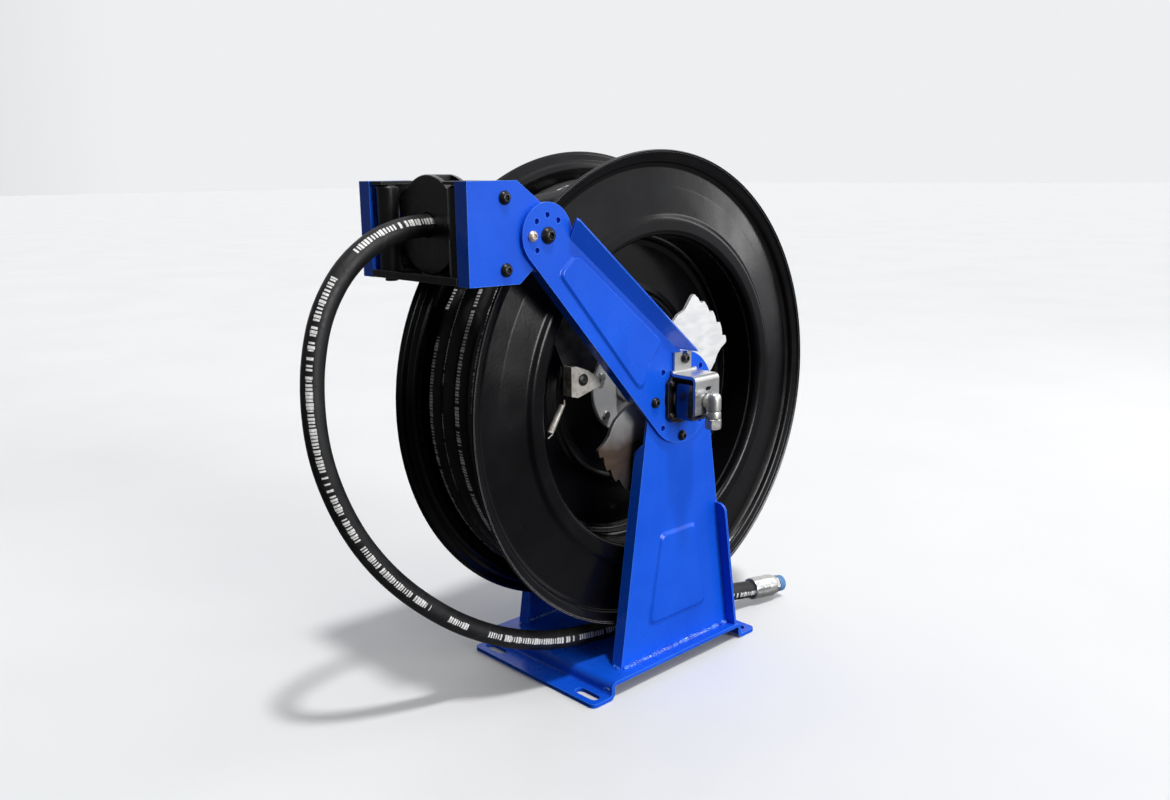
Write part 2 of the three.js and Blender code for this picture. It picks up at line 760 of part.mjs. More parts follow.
function pawlBracket() {
  const points = [];
  for (let i = 0; i <= 4; i += 1) {
    points.push(polarPoint(130 + i * 5.5, 158.6));
  }
  const rest = [[-126, 44], [-119, 19], [-103, 19], [-89, 31], [-77, 46]];
  points.push(...rest.map(([y, z]) => [y, AXLE_Z + z]));
  const plate = plateX(outline(points), 42, 45);
  const boss = rodX(9, 44, PAWL_X - 0.4, PAWL_PIVOT[0], AXLE_Z + PAWL_PIVOT[1], 16);
  return join([plate, boss], [rodX(4.1, 41, 60, PAWL_PIVOT[0], AXLE_Z + PAWL_PIVOT[1], 12)]);
}

function pawl() {
  const points = [
    [-87, 22],
    [-91, 29],
    [-105, 38],
    [-121, 44],
    [-127, 44],
    [-127, 15.5],
    [-119, 13.5],
    [-112, 15],
  ];
  const bore = rodX(4.4, PAWL_X - 1, PAWL_X + 5, PAWL_PIVOT[0], AXLE_Z + PAWL_PIVOT[1], 12);
  const tail = box(46, PAWL_X + RATCHET_SHEET, -127, -124, AXLE_Z + 15.5, AXLE_Z + 44);
  const sheet = plateX(outline(points.map(([y, z]) => [y, AXLE_Z + z])), PAWL_X, PAWL_X + RATCHET_SHEET);
  return join([sheet, tail], [bore]);
}

function pawlPin() {
  return screwX(3.8, 42.4, PAWL_X + RATCHET_SHEET + 0.3, 6, 1.8, PAWL_PIVOT[0], AXLE_Z + PAWL_PIVOT[1]);
}

function pawlSpring() {
  const top = new THREE.Vector3(PAWL_X - 3.9, -129.5, AXLE_Z + 12);
  const low = new THREE.Vector3(PAWL_X - 3.9, -151, AXLE_Z - 22);
  const path = new THREE.LineCurve3(low, top);
  return tube(path, 3, 8, 2);
}

// ---------------------------------------------------------------- hose

function tube(path, radius, sides, steps) {
  const section = new THREE.Shape();
  for (let i = 0; i < sides; i += 1) {
    const turn = i * 2 * Math.PI / sides;
    const [u, v] = [radius * Math.cos(turn), radius * Math.sin(turn)];
    if (i === 0) {
      section.moveTo(u, v);
    } else {
      section.lineTo(u, v);
    }
  }
  return new THREE.ExtrudeGeometry(section, { extrudePath: path, steps, bevelEnabled: false });
}

// The free hose: out of the bumper, down in a loop, in under the drum and out behind the base.
const HOSE_ROUTE = [
  [0, BUMPER_BACK_Y, HOSE_Z],
  [0, BUMPER_FRONT_Y, HOSE_Z],
  [0, -272, 465],
  [0, -302, 454],
  [0, -330, 432],
  [0, -351, 400],
  [0, -362, 362],
  [0, -365, 322],
  [0, -361, 281],
  [0, -349, 240],
  [0, -329, 198],
  [0, -300, 157],
  [1, -262, 118],
  [2, -217, 83],
  [5, -168, 56],
  [9, -116, 38],
  [14, -62, 30.4],
  [20, -8, 28.8],
  [26, 46, 28.8],
  [33, 96, 28.4],
  [39.5, 136, 24],
  [43.8, 172.2, 19.3],
];

// The taut stretch from the bumper back to the last turn on the drum.
const FEED_ROUTE = [
  [0, BUMPER_BACK_Y + 0.4, HOSE_Z],
  [0, -205, 468.3],
  [1, -188, 471.8],
  [5, -160, 476.2],
  [10.5, -122, 481.7],
  [12, -95, 485.6],
  [12, -60, 490.6],
  [12, -30, 494.9],
];
const HOSE_END = new THREE.Vector3(...HOSE_ROUTE[HOSE_ROUTE.length - 1]);
const HOSE_END_DIRECTION = new THREE.Vector3(5.5, 32, -2.6).normalize();

function hosePath(points) {
  return new THREE.CatmullRomCurve3(points.map((p) => new THREE.Vector3(...p)), false, "centripetal");
}

// A profile of [distance, radius] points turned about the hose's end line.
function onHoseEnd(profile, sides) {
  const points = profile.map(([along, r]) => new THREE.Vector2(r, along));
  const turn = new THREE.Quaternion().setFromUnitVectors(Y, HOSE_END_DIRECTION);
  const geometry = new THREE.LatheGeometry(points, sides).applyQuaternion(turn);
  return geometry.translate(HOSE_END.x, HOSE_END.y, HOSE_END.z);
}

// ---------------------------------------------------------------- assembly

add("base_plate", basePlate(), BLUE);
add("near_post", post(), BLUE);
add("far_post", mirrored(post()), BLUE);
add("near_arm", arm(), BLUE);
add("far_arm", mirrored(arm()), BLUE);
add("near_head_plate", headPlate(), BLUE);
add("far_head_plate", mirrored(headPlate()), BLUE);
add("guide_lower_bracket", lowerBracket(), BLACK_STEEL);
add("guide_upper_bracket", upperBracket(), BLACK_STEEL);
add("lower_roller_axle", rodX(4, -EAR_X, EAR_X, ROLLER_Y, GUIDE_Z - ROLLER_RISE, 12), ZINC);
add("upper_roller_axle", rodX(4, -EAR_X, EAR_X, ROLLER_Y, GUIDE_Z + ROLLER_RISE, 12), ZINC);
add("near_side_roller_bolt", sideRollerBolt(SIDE_ROLLER_X), BLACK_STEEL);
add("far_side_roller_bolt", sideRollerBolt(-SIDE_ROLLER_X), BLACK_STEEL);
add("lower_roller", levelRoller(GUIDE_Z - ROLLER_RISE), BLACK_PLASTIC);
add("upper_roller", levelRoller(GUIDE_Z + ROLLER_RISE), BLACK_PLASTIC);
add("near_side_roller", sideRoller(SIDE_ROLLER_X), BLACK_PLASTIC);
add("far_side_roller", sideRoller(-SIDE_ROLLER_X), BLACK_PLASTIC);

add("near_bearing_housing", bearingHousing(), BLACK_STEEL);
add("far_bearing_flange", farFlange(), BLACK_STEEL);
add("swivel_body", swivelBody(), CHROME);
add("swivel_stem", rodX(STEM_R, SWIVEL_END_X + 0.3, SWIVEL_END_X + 3.7, 0, AXLE_Z, 20), ZINC);
add("inlet_elbow", inletElbow(), ZINC);
add("inlet_nut", rodZ(10, AXLE_Z - 26, AXLE_Z - 15.8, LEG_X, 0, 6), ZINC);
add("stay_bracket", stayBracket(), ZINC);
add("ratchet_plate", ratchetPlate(), ZINC);
add("spring_anchor_shaft", rodX(12, FAR_END_X, DRUM_X - 34, 0, AXLE_Z, 20), ZINC);

for (const [side, name] of [[1, "near"], [-1, "far"]]) {
  const place = (geometry) => (side > 0 ? geometry : mirrored(geometry));
  const inner = POST_X - POST_SHEET - 3;
  add(`${name}_pivot_bolt`, place(screwX(4, inner, ARM_X + 0.2, 7.5, 5, PIVOT_Y, PIVOT_Z)), BLACK_STEEL);
  const setY = PIVOT_Y - SET_BOLT_R;
  add(`${name}_set_bolt`, place(screwX(2.4, inner, ARM_X + 0.2, 5, 3.5, setY, PIVOT_Z)), ZINC);
  HEAD_SCREW_Z.forEach((z, i) => {
    const label = i === 0 ? "lower" : "upper";
    const screw = screwX(3, EAR_X - 6, POST_X + 0.2, 6, 4, HEAD_SCREW_Y, z);
    add(`${name}_head_screw_${label}`, place(screw), BLACK_STEEL);
  });
}
for (const [name, degrees, seat] of [["top", 90, 3.4], ["front", 180, 0], ["low", 270, 0]]) {
  const turn = THREE.MathUtils.degToRad(degrees);
  const y = ARM_BOLT_R * Math.cos(turn);
  const z = AXLE_Z + ARM_BOLT_R * Math.sin(turn);
  const head = ARM_X + seat + 0.2;
  add(`arm_bolt_${name}`, screwX(3, ARM_X - ARM_SHEET + 0.2, head, 5.5, 4, y, z), BLACK_STEEL);
}

add("near_disc", discSolid(1), BLACK_SHEET);
add("far_disc", discSolid(-1), BLACK_SHEET);
add("drum_barrel", barrel(), BLACK_SHEET);
add("drum_web", web(), BLACK_SHEET);
add("hub_shaft", hubShaft(), ZINC);
add("hub_flange", hubFlange(), ZINC);
add("spring_canister", springCanister(), BLACK_SHEET);
add("power_spring", powerSpring(), SPRING_STEEL);
add("wound_hose", woundHose(), HOSE_RUBBER);
add("outlet_pipe", rodZ(7, AXLE_Z - 159.2, AXLE_Z - 17.4, 30, 0, 12), ZINC);
add("pawl_bracket", pawlBracket(), BLACK_STEEL);
add("pawl_pin", pawlPin(), BLACK_STEEL);
add("pawl_spring", pawlSpring(), ZINC);
add("ratchet_pawl", pawl(), ZINC);

add("bumper_upper_half", bumperHalf(1), BLACK_PLASTIC);
add("bumper_lower_half", bumperHalf(-1), BLACK_PLASTIC);
add("bumper_screw_near", bumperScrew(29), BLACK_STEEL);
add("bumper_screw_far", bumperScrew(-29), BLACK_STEEL);
add("free_hose", tube(hosePath(HOSE_ROUTE), HOSE_R, 8, 30), HOSE_RUBBER);
add("feed_hose", tube(hosePath(FEED_ROUTE), HOSE_R, 8, 6), HOSE_RUBBER);
add("hose_ferrule", onHoseEnd([[0.8, 0], [0.8, 12], [2, 13], [34, 13], [36, 11.5], [36, 0]], 12), ZINC);
add("hose_nipple", onHoseEnd([[36.3, 0], [36.3, 11], [42, 11], [42, 0]], 6), ZINC);
add("hose_cap", onHoseEnd([[42.3, 0], [42.3, 10], [51, 10], [52, 9], [52, 0]], 12), CAP_BLUE);

export default part;
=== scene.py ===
import math
import random

import bmesh
import bpy
from mathutils import Matrix, Vector


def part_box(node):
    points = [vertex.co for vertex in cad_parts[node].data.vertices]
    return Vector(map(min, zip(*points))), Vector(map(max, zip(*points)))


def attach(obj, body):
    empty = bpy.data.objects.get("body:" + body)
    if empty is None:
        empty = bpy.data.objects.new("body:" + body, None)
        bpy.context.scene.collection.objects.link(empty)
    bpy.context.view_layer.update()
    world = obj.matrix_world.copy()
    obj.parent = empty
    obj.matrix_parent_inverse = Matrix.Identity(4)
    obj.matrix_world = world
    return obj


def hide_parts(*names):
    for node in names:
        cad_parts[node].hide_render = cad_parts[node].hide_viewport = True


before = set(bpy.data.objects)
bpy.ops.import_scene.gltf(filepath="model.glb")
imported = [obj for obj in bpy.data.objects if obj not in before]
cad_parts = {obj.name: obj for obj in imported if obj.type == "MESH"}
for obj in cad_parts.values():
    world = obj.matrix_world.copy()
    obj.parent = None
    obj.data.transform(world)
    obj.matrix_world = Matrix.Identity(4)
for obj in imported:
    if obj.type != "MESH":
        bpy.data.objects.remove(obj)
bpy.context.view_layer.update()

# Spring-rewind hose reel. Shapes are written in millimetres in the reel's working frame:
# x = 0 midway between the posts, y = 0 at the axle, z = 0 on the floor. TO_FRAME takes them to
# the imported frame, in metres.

base_low, base_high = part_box("base_plate")
hub_low, hub_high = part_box("hub_shaft")
ORIGIN = Vector(((base_low.x + base_high.x) / 2, (hub_low.y + hub_high.y) / 2, 0))
AXLE_Z = (hub_low.z + hub_high.z) * 500
TO_FRAME = Matrix.Translation(ORIGIN) @ Matrix.Scale(0.001, 4)

AXLE = (0, AXLE_Z)

DRUM_X = -4
SHEET = 2
DECK_Z = 18
POST_X = 80
POST_REACH = 85
POST_R = 43.5
ARM_X = 84
ARM_R = 47
ARM_HEAD_R = 28.5
ARM_SHEET = 3.7
BEARING_HOLE_R = 26.4
PIVOT = (-177, AXLE_Z + 170)
SET_SPOT = (PIVOT[0] - 17.5, PIVOT[1])
HEAD_SCREW_Y = -221
HEAD_SCREW_ZS = {"lower": 432, "upper": 492}
HOSE_R = 10
HOSE_Z = 468
BUMPER_FRONT_Y = -243
BUMPER_BACK_Y = -216.6
BUMPER_MIDDLE_Y = (BUMPER_FRONT_Y + BUMPER_BACK_Y) / 2
BUMPER_SCREW_X = 29
GUIDE_Z = 467
ROLLER_Y = -207.3
ROLLER_RISE = 23.5
SIDE_ROLLER = (53, -247.5)
RATCHET_X = 58
PAWL_X = 53.5
PAWL_PIVOT = (-112, AXLE_Z + 30)
SPRING_X = PAWL_X - 3.9
LEG_X = 125
SIDES = {"near": 1, "far": -1}


def mm(x, y, z):
    return TO_FRAME @ Vector((x, y, z))


# ---- camera

CAMERA_AZIMUTH = math.radians(46.4933)
CAMERA_ELEVATION = math.radians(12.3866)
CAMERA_ROLL = math.radians(-0.6458)
CAMERA_PLACE = (768.2, -784.5, 514.2)
camera_data = bpy.data.cameras.new("camera")
camera_data.sensor_width = 36
camera_data.lens = 32.308
camera = bpy.data.objects.new("camera", camera_data)
bpy.context.collection.objects.link(camera)
back = Vector((
    math.sin(CAMERA_AZIMUTH) * math.cos(CAMERA_ELEVATION),
    -math.cos(CAMERA_AZIMUTH) * math.cos(CAMERA_ELEVATION),
    math.sin(CAMERA_ELEVATION),
))
level = Vector((math.cos(CAMERA_AZIMUTH), math.sin(CAMERA_AZIMUTH), 0))
right = level * math.cos(CAMERA_ROLL) + back.cross(level) * math.sin(CAMERA_ROLL)
up = back.cross(right)
camera_turn = Matrix((right, up, back)).transposed().to_4x4()
camera.matrix_world = Matrix.Translation(mm(*CAMERA_PLACE)) @ camera_turn
bpy.context.scene.camera = camera

# ---- materials


class Finish:
    """A procedural material on one Principled shader, patterned in the object's own coordinates."""

    def __init__(self, name, color, roughness, **sockets):
        self.material = bpy.data.materials.new(name)
        self.material.use_nodes = True
        self.tree = self.material.node_tree
        self.shader = self.tree.nodes["Principled BSDF"]
        self.shader.inputs["Base Color"].default_value = (*color, 1)
        self.shader.inputs["Roughness"].default_value = roughness
        for socket, value in sockets.items():
            self.shader.inputs[socket.replace("_", " ")].default_value = value
        self.where = self.tree.nodes.new("ShaderNodeTexCoord").outputs["Object"]
        self.normal = None

    def node(self, kind, inputs=(), **settings):
        made = self.tree.nodes.new(kind)
        for key, value in settings.items():
            setattr(made, key, value)
        for key, value in dict(inputs).items():
            if isinstance(value, bpy.types.NodeSocket):
                self.tree.links.new(value, made.inputs[key])
            else:
                made.inputs[key].default_value = value
        return made

    def math(self, operation, a, b=0.0):
        return self.node("ShaderNodeMath", {0: a, 1: b}, operation=operation).outputs[0]

    def product(self, a, b):
        return self.math("MULTIPLY", a, b)

    def noise(self, scale, detail, stretch=None):
        where = self.where
        if stretch:
            where = self.node("ShaderNodeMapping", {"Vector": where, "Scale": stretch}).outputs[0]
        settings = {"Vector": where, "Scale": scale, "Detail": detail}
        return self.node("ShaderNodeTexNoise", settings).outputs["Fac"]

    def spread(self, value, low, high, to_low, to_high):
        settings = {"Value": value, "From Min": low, "From Max": high, "To Min": to_low, "To Max": to_high}
        return self.node("ShaderNodeMapRange", settings).outputs[0]

    def edges(self, strength):
        """strength on corners, where a rounded normal leaves the true one, and 0 on faces."""
        rounded = self.node("ShaderNodeBevel", {"Radius": 0.0011}, samples=4).outputs[0]
        both = {0: rounded, 1: self.true_normal()}
        agree = self.node("ShaderNodeVectorMath", both, operation="DOT_PRODUCT").outputs["Value"]
        return self.spread(agree, 0.99, 0.86, 0, strength)

    def true_normal(self):
        return self.tree.nodes.new("ShaderNodeNewGeometry").outputs["Normal"]

    def blend(self, factor, first, second):
        mix = self.tree.nodes.new("ShaderNodeMix")
        mix.data_type = "RGBA"
        for socket, value in ((0, factor), (6, first), (7, second)):
            if isinstance(value, bpy.types.NodeSocket):
                self.tree.links.new(value, mix.inputs[socket])
            else:
                mix.inputs[socket].default_value = value if socket == 0 else (*value, 1)
        return mix.outputs[2]

    def clouds(self, scale, detail, low, high, first, second, stretch=None):
        """Two colours in clouds: first where the noise is under low, second where it is over high."""
        share = self.spread(self.noise(scale, detail, stretch), low, high, 0, 1)
        return self.blend(share, first, second)

    def color(self, socket):
        self.tree.links.new(socket, self.shader.inputs["Base Color"])

    def satin(self, scale, detail, low, high, stretch=None, noise_high=0.7):
        """A roughness that wanders between low and high."""
        wander = self.spread(self.noise(scale, detail, stretch), 0.3, noise_high, low, high)
        self.tree.links.new(wander, self.shader.inputs["Roughness"])

    def bump(self, height, strength, distance):
        inputs = {"Height": height, "Strength": strength, "Distance": distance}
        if self.normal:
            inputs["Normal"] = self.normal
        self.normal = self.node("ShaderNodeBump", inputs).outputs[0]
        self.tree.links.new(self.normal, self.shader.inputs["Normal"])


def blue_powder_coat():
    f = Finish("blue_powder_coat", (0.004, 0.05, 0.6), 0.3, Specular_IOR_Level=0.32)
    body = f.clouds(9, 4, 0.3, 0.7, (0.003, 0.07, 0.58), (0.005, 0.095, 0.7))
    scuffs = f.spread(f.noise(60, 6, (1, 1, 0.2)), 0.66, 0.76, 0, 0.12)
    body = f.blend(scuffs, body, (0.03, 0.16, 0.76))
    # Painted highlight: the rounded edges are painted a lighter blue, as if catching the light.
    f.color(f.blend(f.edges(0.6), body, (0.12, 0.36, 1.0)))
    f.satin(35, 5, 0.2, 0.34)
    f.bump(f.noise(420, 2), 0.2, 0.0004)
    f.bump(f.noise(24, 2), 0.12, 0.002)
    return f.material


def painted_bead():
    f = Finish("painted_bead", (0.004, 0.08, 0.62), 0.14, Specular_IOR_Level=0.8)
    f.color(f.clouds(160, 4, 0.45, 0.65, (0.003, 0.07, 0.55), (0.03, 0.2, 0.85)))
    f.satin(300, 4, 0.08, 0.22)
    f.bump(f.noise(380, 3), 0.5, 0.0008)
    return f.material


def black_sheet():
    f = Finish("black_gloss_sheet", (0.003, 0.003, 0.004), 0.22, Specular_IOR_Level=0.26)
    body = f.clouds(11, 4, 0.35, 0.7, (0.0015, 0.0015, 0.002), (0.004, 0.004, 0.005))
    # Pale patches of dust.
    pale_patches = f.spread(f.noise(75, 8), 0.64, 0.8, 0, 0.22)
    body = f.blend(pale_patches, body, (0.02, 0.02, 0.021))
    # Painted highlight: the rounded edges and rims are painted grey, as if catching the light.
    f.color(f.blend(f.edges(0.6), body, (0.32, 0.32, 0.33)))
    f.satin(28, 6, 0.15, 0.28, noise_high=0.75)
    f.bump(f.noise(380, 2), 0.16, 0.0004)
    f.bump(f.noise(15, 2), 0.1, 0.003)
    return f.material


def black_oxide():
    f = Finish("black_oxide_steel", (0.01, 0.01, 0.011), 0.4, Metallic=0.4)
    body = f.clouds(90, 5, 0.35, 0.7, (0.006, 0.006, 0.007), (0.02, 0.02, 0.02))
    f.color(f.blend(f.edges(0.55), body, (0.24, 0.23, 0.22)))
    f.satin(140, 4, 0.28, 0.48)
    f.bump(f.noise(700, 3), 0.2, 0.0002)
    return f.material


def black_nylon():
    """Moulded nylon, with painted light: what faces up is painted a paler grey."""
    f = Finish("black_nylon", (0.005, 0.005, 0.006), 0.4, Specular_IOR_Level=0.5)
    body = f.clouds(50, 5, 0.35, 0.7, (0.003, 0.003, 0.0035), (0.008, 0.008, 0.009))
    # Painted light: surfaces that face up are painted paler grey in noise patches, as if lit from above.
    upward = f.node("ShaderNodeSeparateXYZ", {0: f.true_normal()}).outputs[2]
    pale_patches = f.product(f.spread(upward, 0.55, 0.95, 0, 0.5), f.spread(f.noise(45, 5), 0.3, 0.6, 0.3, 1))
    body = f.blend(pale_patches, body, (0.22, 0.23, 0.24))
    f.color(f.blend(f.edges(0.4), body, (0.07, 0.07, 0.075)))
    f.satin(120, 5, 0.24, 0.42)
    f.bump(f.noise(900, 2), 0.25, 0.0003)
    return f.material


BARS_PER_METRE = 330
GROUPS_PER_METRE = 38


def chance_of(f, along, per_metre):
    """A random number for each of the equal stretches that the hose is divided into."""
    cell = f.math("FLOOR", f.product(along, per_metre))
    return f.node("ShaderNodeTexWhiteNoise", {"W": cell}, noise_dimensions="1D").outputs[0]


def printed_bars(f, along, round_):
    """A line of bars of many lengths down one side of the hose, in groups with gaps."""
    chance = chance_of(f, along, BARS_PER_METRE)
    through_cell = f.math("FRACT", f.product(along, BARS_PER_METRE))
    bar = f.math("LESS_THAN", through_cell, f.spread(chance, 0, 1, 0.35, 0.9))
    bar = f.product(bar, f.math("GREATER_THAN", chance, 0.1))
    bar = f.product(bar, f.math("GREATER_THAN", chance_of(f, along, GROUPS_PER_METRE), 0.1))
    off_line = f.math("ABSOLUTE", f.math("SUBTRACT", f.math("FRACT", round_), 0.5))
    return f.product(bar, f.math("LESS_THAN", off_line, f.spread(chance, 0, 1, 0.038, 0.052)))


def hose_rubber():
    """Wrapped-cover hose. The UV map holds metres along the hose and turns round it."""
    f = Finish("hose_rubber", (0.008, 0.008, 0.009), 0.45, Specular_IOR_Level=0.4)
    at = f.node("ShaderNodeSeparateXYZ", {0: f.node("ShaderNodeUVMap", uv_map="hose").outputs[0]})
    along, round_ = at.outputs[0], at.outputs[1]
    threads = []
    for turns in (28, -28):
        lines = f.math("ADD", f.product(along, 620), f.product(round_, turns))
        threads.append(f.math("PINGPONG", lines, 0.5))
    tape = f.math("FRACT", f.math("ADD", f.product(along, 21), round_))
    seam = f.spread(tape, 0.0, 0.045, 1, 0)
    body = f.clouds(40, 6, 0.35, 0.7, (0.005, 0.005, 0.006), (0.013, 0.013, 0.014))
    body = f.blend(f.product(seam, 0.5), body, (0.03, 0.03, 0.032))
    worn = f.product(printed_bars(f, along, round_), f.spread(f.noise(500, 3), 0.3, 0.62, 1, 0.6))
    f.color(f.blend(worn, body, (0.95, 0.95, 0.93)))
    f.satin(160, 4, 0.42, 0.6)
    f.bump(f.product(*threads), 0.35, 0.0005)
    f.bump(seam, 0.4, 0.0005)
    return f.material


def zinc_plate():
    f = Finish("zinc_plate", (0.6, 0.6, 0.6), 0.34, Metallic=0.92)
    body = f.clouds(55, 5, 0.3, 0.7, (0.52, 0.53, 0.54), (0.68, 0.67, 0.65), (1, 1, 0.25))
    f.color(f.blend(f.spread(f.noise(26, 3), 0.55, 0.75, 0, 0.35), body, (0.60, 0.55, 0.44)))
    f.satin(240, 4, 0.27, 0.42, (1, 0.15, 1))
    f.bump(f.noise(500, 3, (1, 0.2, 1)), 0.1, 0.0002)
    return f.material


def lapped_zinc():
    """Zinc plate of the toothed plate, with a painted reflection: pale above the axle, dark and warm below
    it.
    """
    f = Finish("lapped_zinc", (0.7, 0.7, 0.7), 0.36, Metallic=0.55)
    height = f.node("ShaderNodeSeparateXYZ", {0: f.where}).outputs[2]
    # Painted reflection: below the axle the plate is painted dark and warm, as if reflecting the post and
    # floor.
    painted_low_reflection = f.spread(f.math("ADD", height, f.product(f.noise(22, 4), 0.03)), 0.262, 0.312, 1, 0)
    warm = f.clouds(14, 3, 0.4, 0.62, (0.03, 0.03, 0.034), (0.085, 0.056, 0.04))
    bright = f.clouds(70, 4, 0.3, 0.7, (0.86, 0.87, 0.88), (0.95, 0.95, 0.94))
    f.color(f.blend(painted_low_reflection, bright, warm))
    f.satin(160, 4, 0.28, 0.46, (1, 0.3, 1))
    f.bump(f.noise(480, 3), 0.1, 0.0002)
    return f.material


def pale_zinc():
    f = Finish("pale_zinc", (0.9, 0.9, 0.92), 0.42, Metallic=0.25)
    f.color(f.clouds(60, 5, 0.3, 0.7, (0.92, 0.93, 0.94), (0.97, 0.97, 0.97)))
    f.satin(180, 4, 0.34, 0.5)
    f.bump(f.noise(500, 3), 0.1, 0.0002)
    return f.material


def stained_zinc():
    f = Finish("stained_zinc", (0.4, 0.37, 0.33), 0.42, Metallic=0.5)
    body = f.clouds(90, 4, 0.35, 0.65, (0.42, 0.4, 0.37), (0.62, 0.6, 0.55))
    f.color(f.blend(f.spread(f.noise(130, 5), 0.52, 0.66, 0, 0.8), body, (0.2, 0.12, 0.07)))
    f.satin(200, 4, 0.34, 0.52)
    f.bump(f.noise(500, 3), 0.12, 0.0002)
    return f.material


def yellow_zinc():
    f = Finish("yellow_zinc", (0.75, 0.62, 0.52), 0.34, Metallic=0.7)
    f.color(f.clouds(120, 4, 0.35, 0.65, (0.66, 0.54, 0.46), (0.85, 0.75, 0.68)))
    f.satin(260, 4, 0.26, 0.42)
    f.bump(f.noise(700, 3), 0.1, 0.0002)
    return f.material


def chrome_plate():
    f = Finish("chrome_plate", (0.16, 0.16, 0.18), 0.2, Metallic=1.0)
    f.color(f.clouds(40, 4, 0.4, 0.7, (0.1, 0.1, 0.12), (0.22, 0.22, 0.25)))
    f.satin(180, 5, 0.15, 0.3, noise_high=0.75)
    f.bump(f.noise(70, 2), 0.2, 0.0012)
    return f.material


def cap_plastic():
    f = Finish("blue_cap_plastic", (0.06, 0.2, 0.42), 0.42)
    f.color(f.clouds(60, 4, 0.3, 0.7, (0.05, 0.16, 0.36), (0.09, 0.25, 0.48)))
    f.satin(150, 4, 0.32, 0.5)
    f.bump(f.noise(800, 2), 0.15, 0.0002)
    return f.material


def spring_steel():
    f = Finish("spring_steel", (0.3, 0.29, 0.27), 0.4, Metallic=1.0)
    f.color(f.clouds(70, 5, 0.3, 0.7, (0.24, 0.23, 0.22), (0.4, 0.38, 0.34)))
    f.satin(200, 5, 0.28, 0.5, (1, 0.2, 0.2))
    f.bump(f.noise(600, 3), 0.12, 0.0002)
    return f.material


def pale_floor():
    f = Finish("pale_floor", (0.8, 0.8, 0.81), 0.6)
    f.color(f.clouds(2.5, 4, 0.3, 0.7, (0.7, 0.71, 0.72), (0.74, 0.74, 0.74)))
    f.satin(20, 4, 0.5, 0.65)
    f.bump(f.noise(300, 3), 0.05, 0.0005)
    return f.material


# Each finish is the slot that it fills and its material.
BLUE = ("blue_powder_coat", blue_powder_coat())
BEAD = ("blue_powder_coat", painted_bead())
BLACK = ("black_gloss_sheet", black_sheet())
OXIDE = ("black_oxide_steel", black_oxide())
NYLON = ("black_nylon", black_nylon())
RUBBER = ("hose_rubber", hose_rubber())
ZINC = ("zinc_steel", zinc_plate())
LAPPED = ("zinc_steel", lapped_zinc())
PALE = ("zinc_steel", pale_zinc())
STAINED = ("zinc_steel", stained_zinc())
BRASSY = ("zinc_steel", yellow_zinc())
CHROME = ("chrome_steel", chrome_plate())
CAP = ("blue_cap_plastic", cap_plastic())
SPRING = ("spring_steel", spring_steel())

# ---- shapes


def shape(mesh):
    """The mesh as an object, with its faces turned outwards."""
    made = bpy.data.objects.new("shape", mesh)
    bpy.context.collection.objects.link(made)
    bm = bmesh.new()
    bm.from_mesh(mesh)
    bmesh.ops.recalc_face_normals(bm, faces=bm.faces)
    bm.to_mesh(mesh)
    bm.free()
    return made


def raw(verts, faces):
    mesh = bpy.data.meshes.new("raw")
    mesh.from_pydata([tuple(v) for v in verts], [], faces)
    return shape(mesh)


def arc(u, v, radius, start, end, steps=10):
    turns = [math.radians(start + (end - start) * i / steps) for i in range(steps + 1)]
    return [(u + radius * math.cos(t), v + radius * math.sin(t)) for t in turns]


def filleted(points, radius, closed=True, steps=5):
    """The points with each corner rounded, as far as its neighbours leave room.

    radius is one number, or a list with one for each corner."""
    made = []
    count = len(points)
    for i, point in enumerate(points):
        here = Vector(point)
        r = radius[i] if isinstance(radius, (list, tuple)) else radius
        if r <= 0 or (not closed and i in (0, count - 1)):
            made.append(tuple(here))
            continue
        before = Vector(points[i - 1]) - here
        after = Vector(points[(i + 1) % count]) - here
        half = before.angle(after) / 2
        if half > math.radians(88):
            made.append(tuple(here))
            continue
        reach = min(r / math.tan(half), before.length * 0.48, after.length * 0.48)
        start = here + before.normalized() * reach
        end = here + after.normalized() * reach
        for k in range(steps + 1):
            t = k / steps
            made.append(tuple(start * (1 - t) ** 2 + here * (2 * t * (1 - t)) + end * t ** 2))
    return made


def thickened(line, thickness):
    """A bent line of sheet as a closed outline, from its middle line."""
    sides = ([], [])
    for i, point in enumerate(line):
        run = Vector(line[min(i + 1, len(line) - 1)]) - Vector(line[max(i - 1, 0)])
        off = Vector((-run.y, run.x)).normalized() * thickness / 2
        sides[0].append(tuple(Vector(point) + off))
        sides[1].append(tuple(Vector(point) - off))
    return sides[0] + sides[1][::-1]


AXES = {"x": lambda u, v, w: (w, u, v), "y": lambda u, v, w: (u, w, v), "z": lambda u, v, w: (u, v, w)}


def prism(points, low, high, axis="x"):
    """An outline made thick along an axis. It is given as (y, z) for x, (x, z) for y and (x, y) for z."""
    count = len(points)
    verts = [AXES[axis](u, v, w) for w in (low, high) for u, v in points]
    faces = [list(range(count)), list(range(count, 2 * count))[::-1]]
    faces += [[i, (i + 1) % count, count + (i + 1) % count, count + i] for i in range(count)]
    return raw(verts, faces)


def block(x0, x1, y0, y1, z0, z1):
    return prism([(y0, z0), (y1, z0), (y1, z1), (y0, z1)], x0, x1)


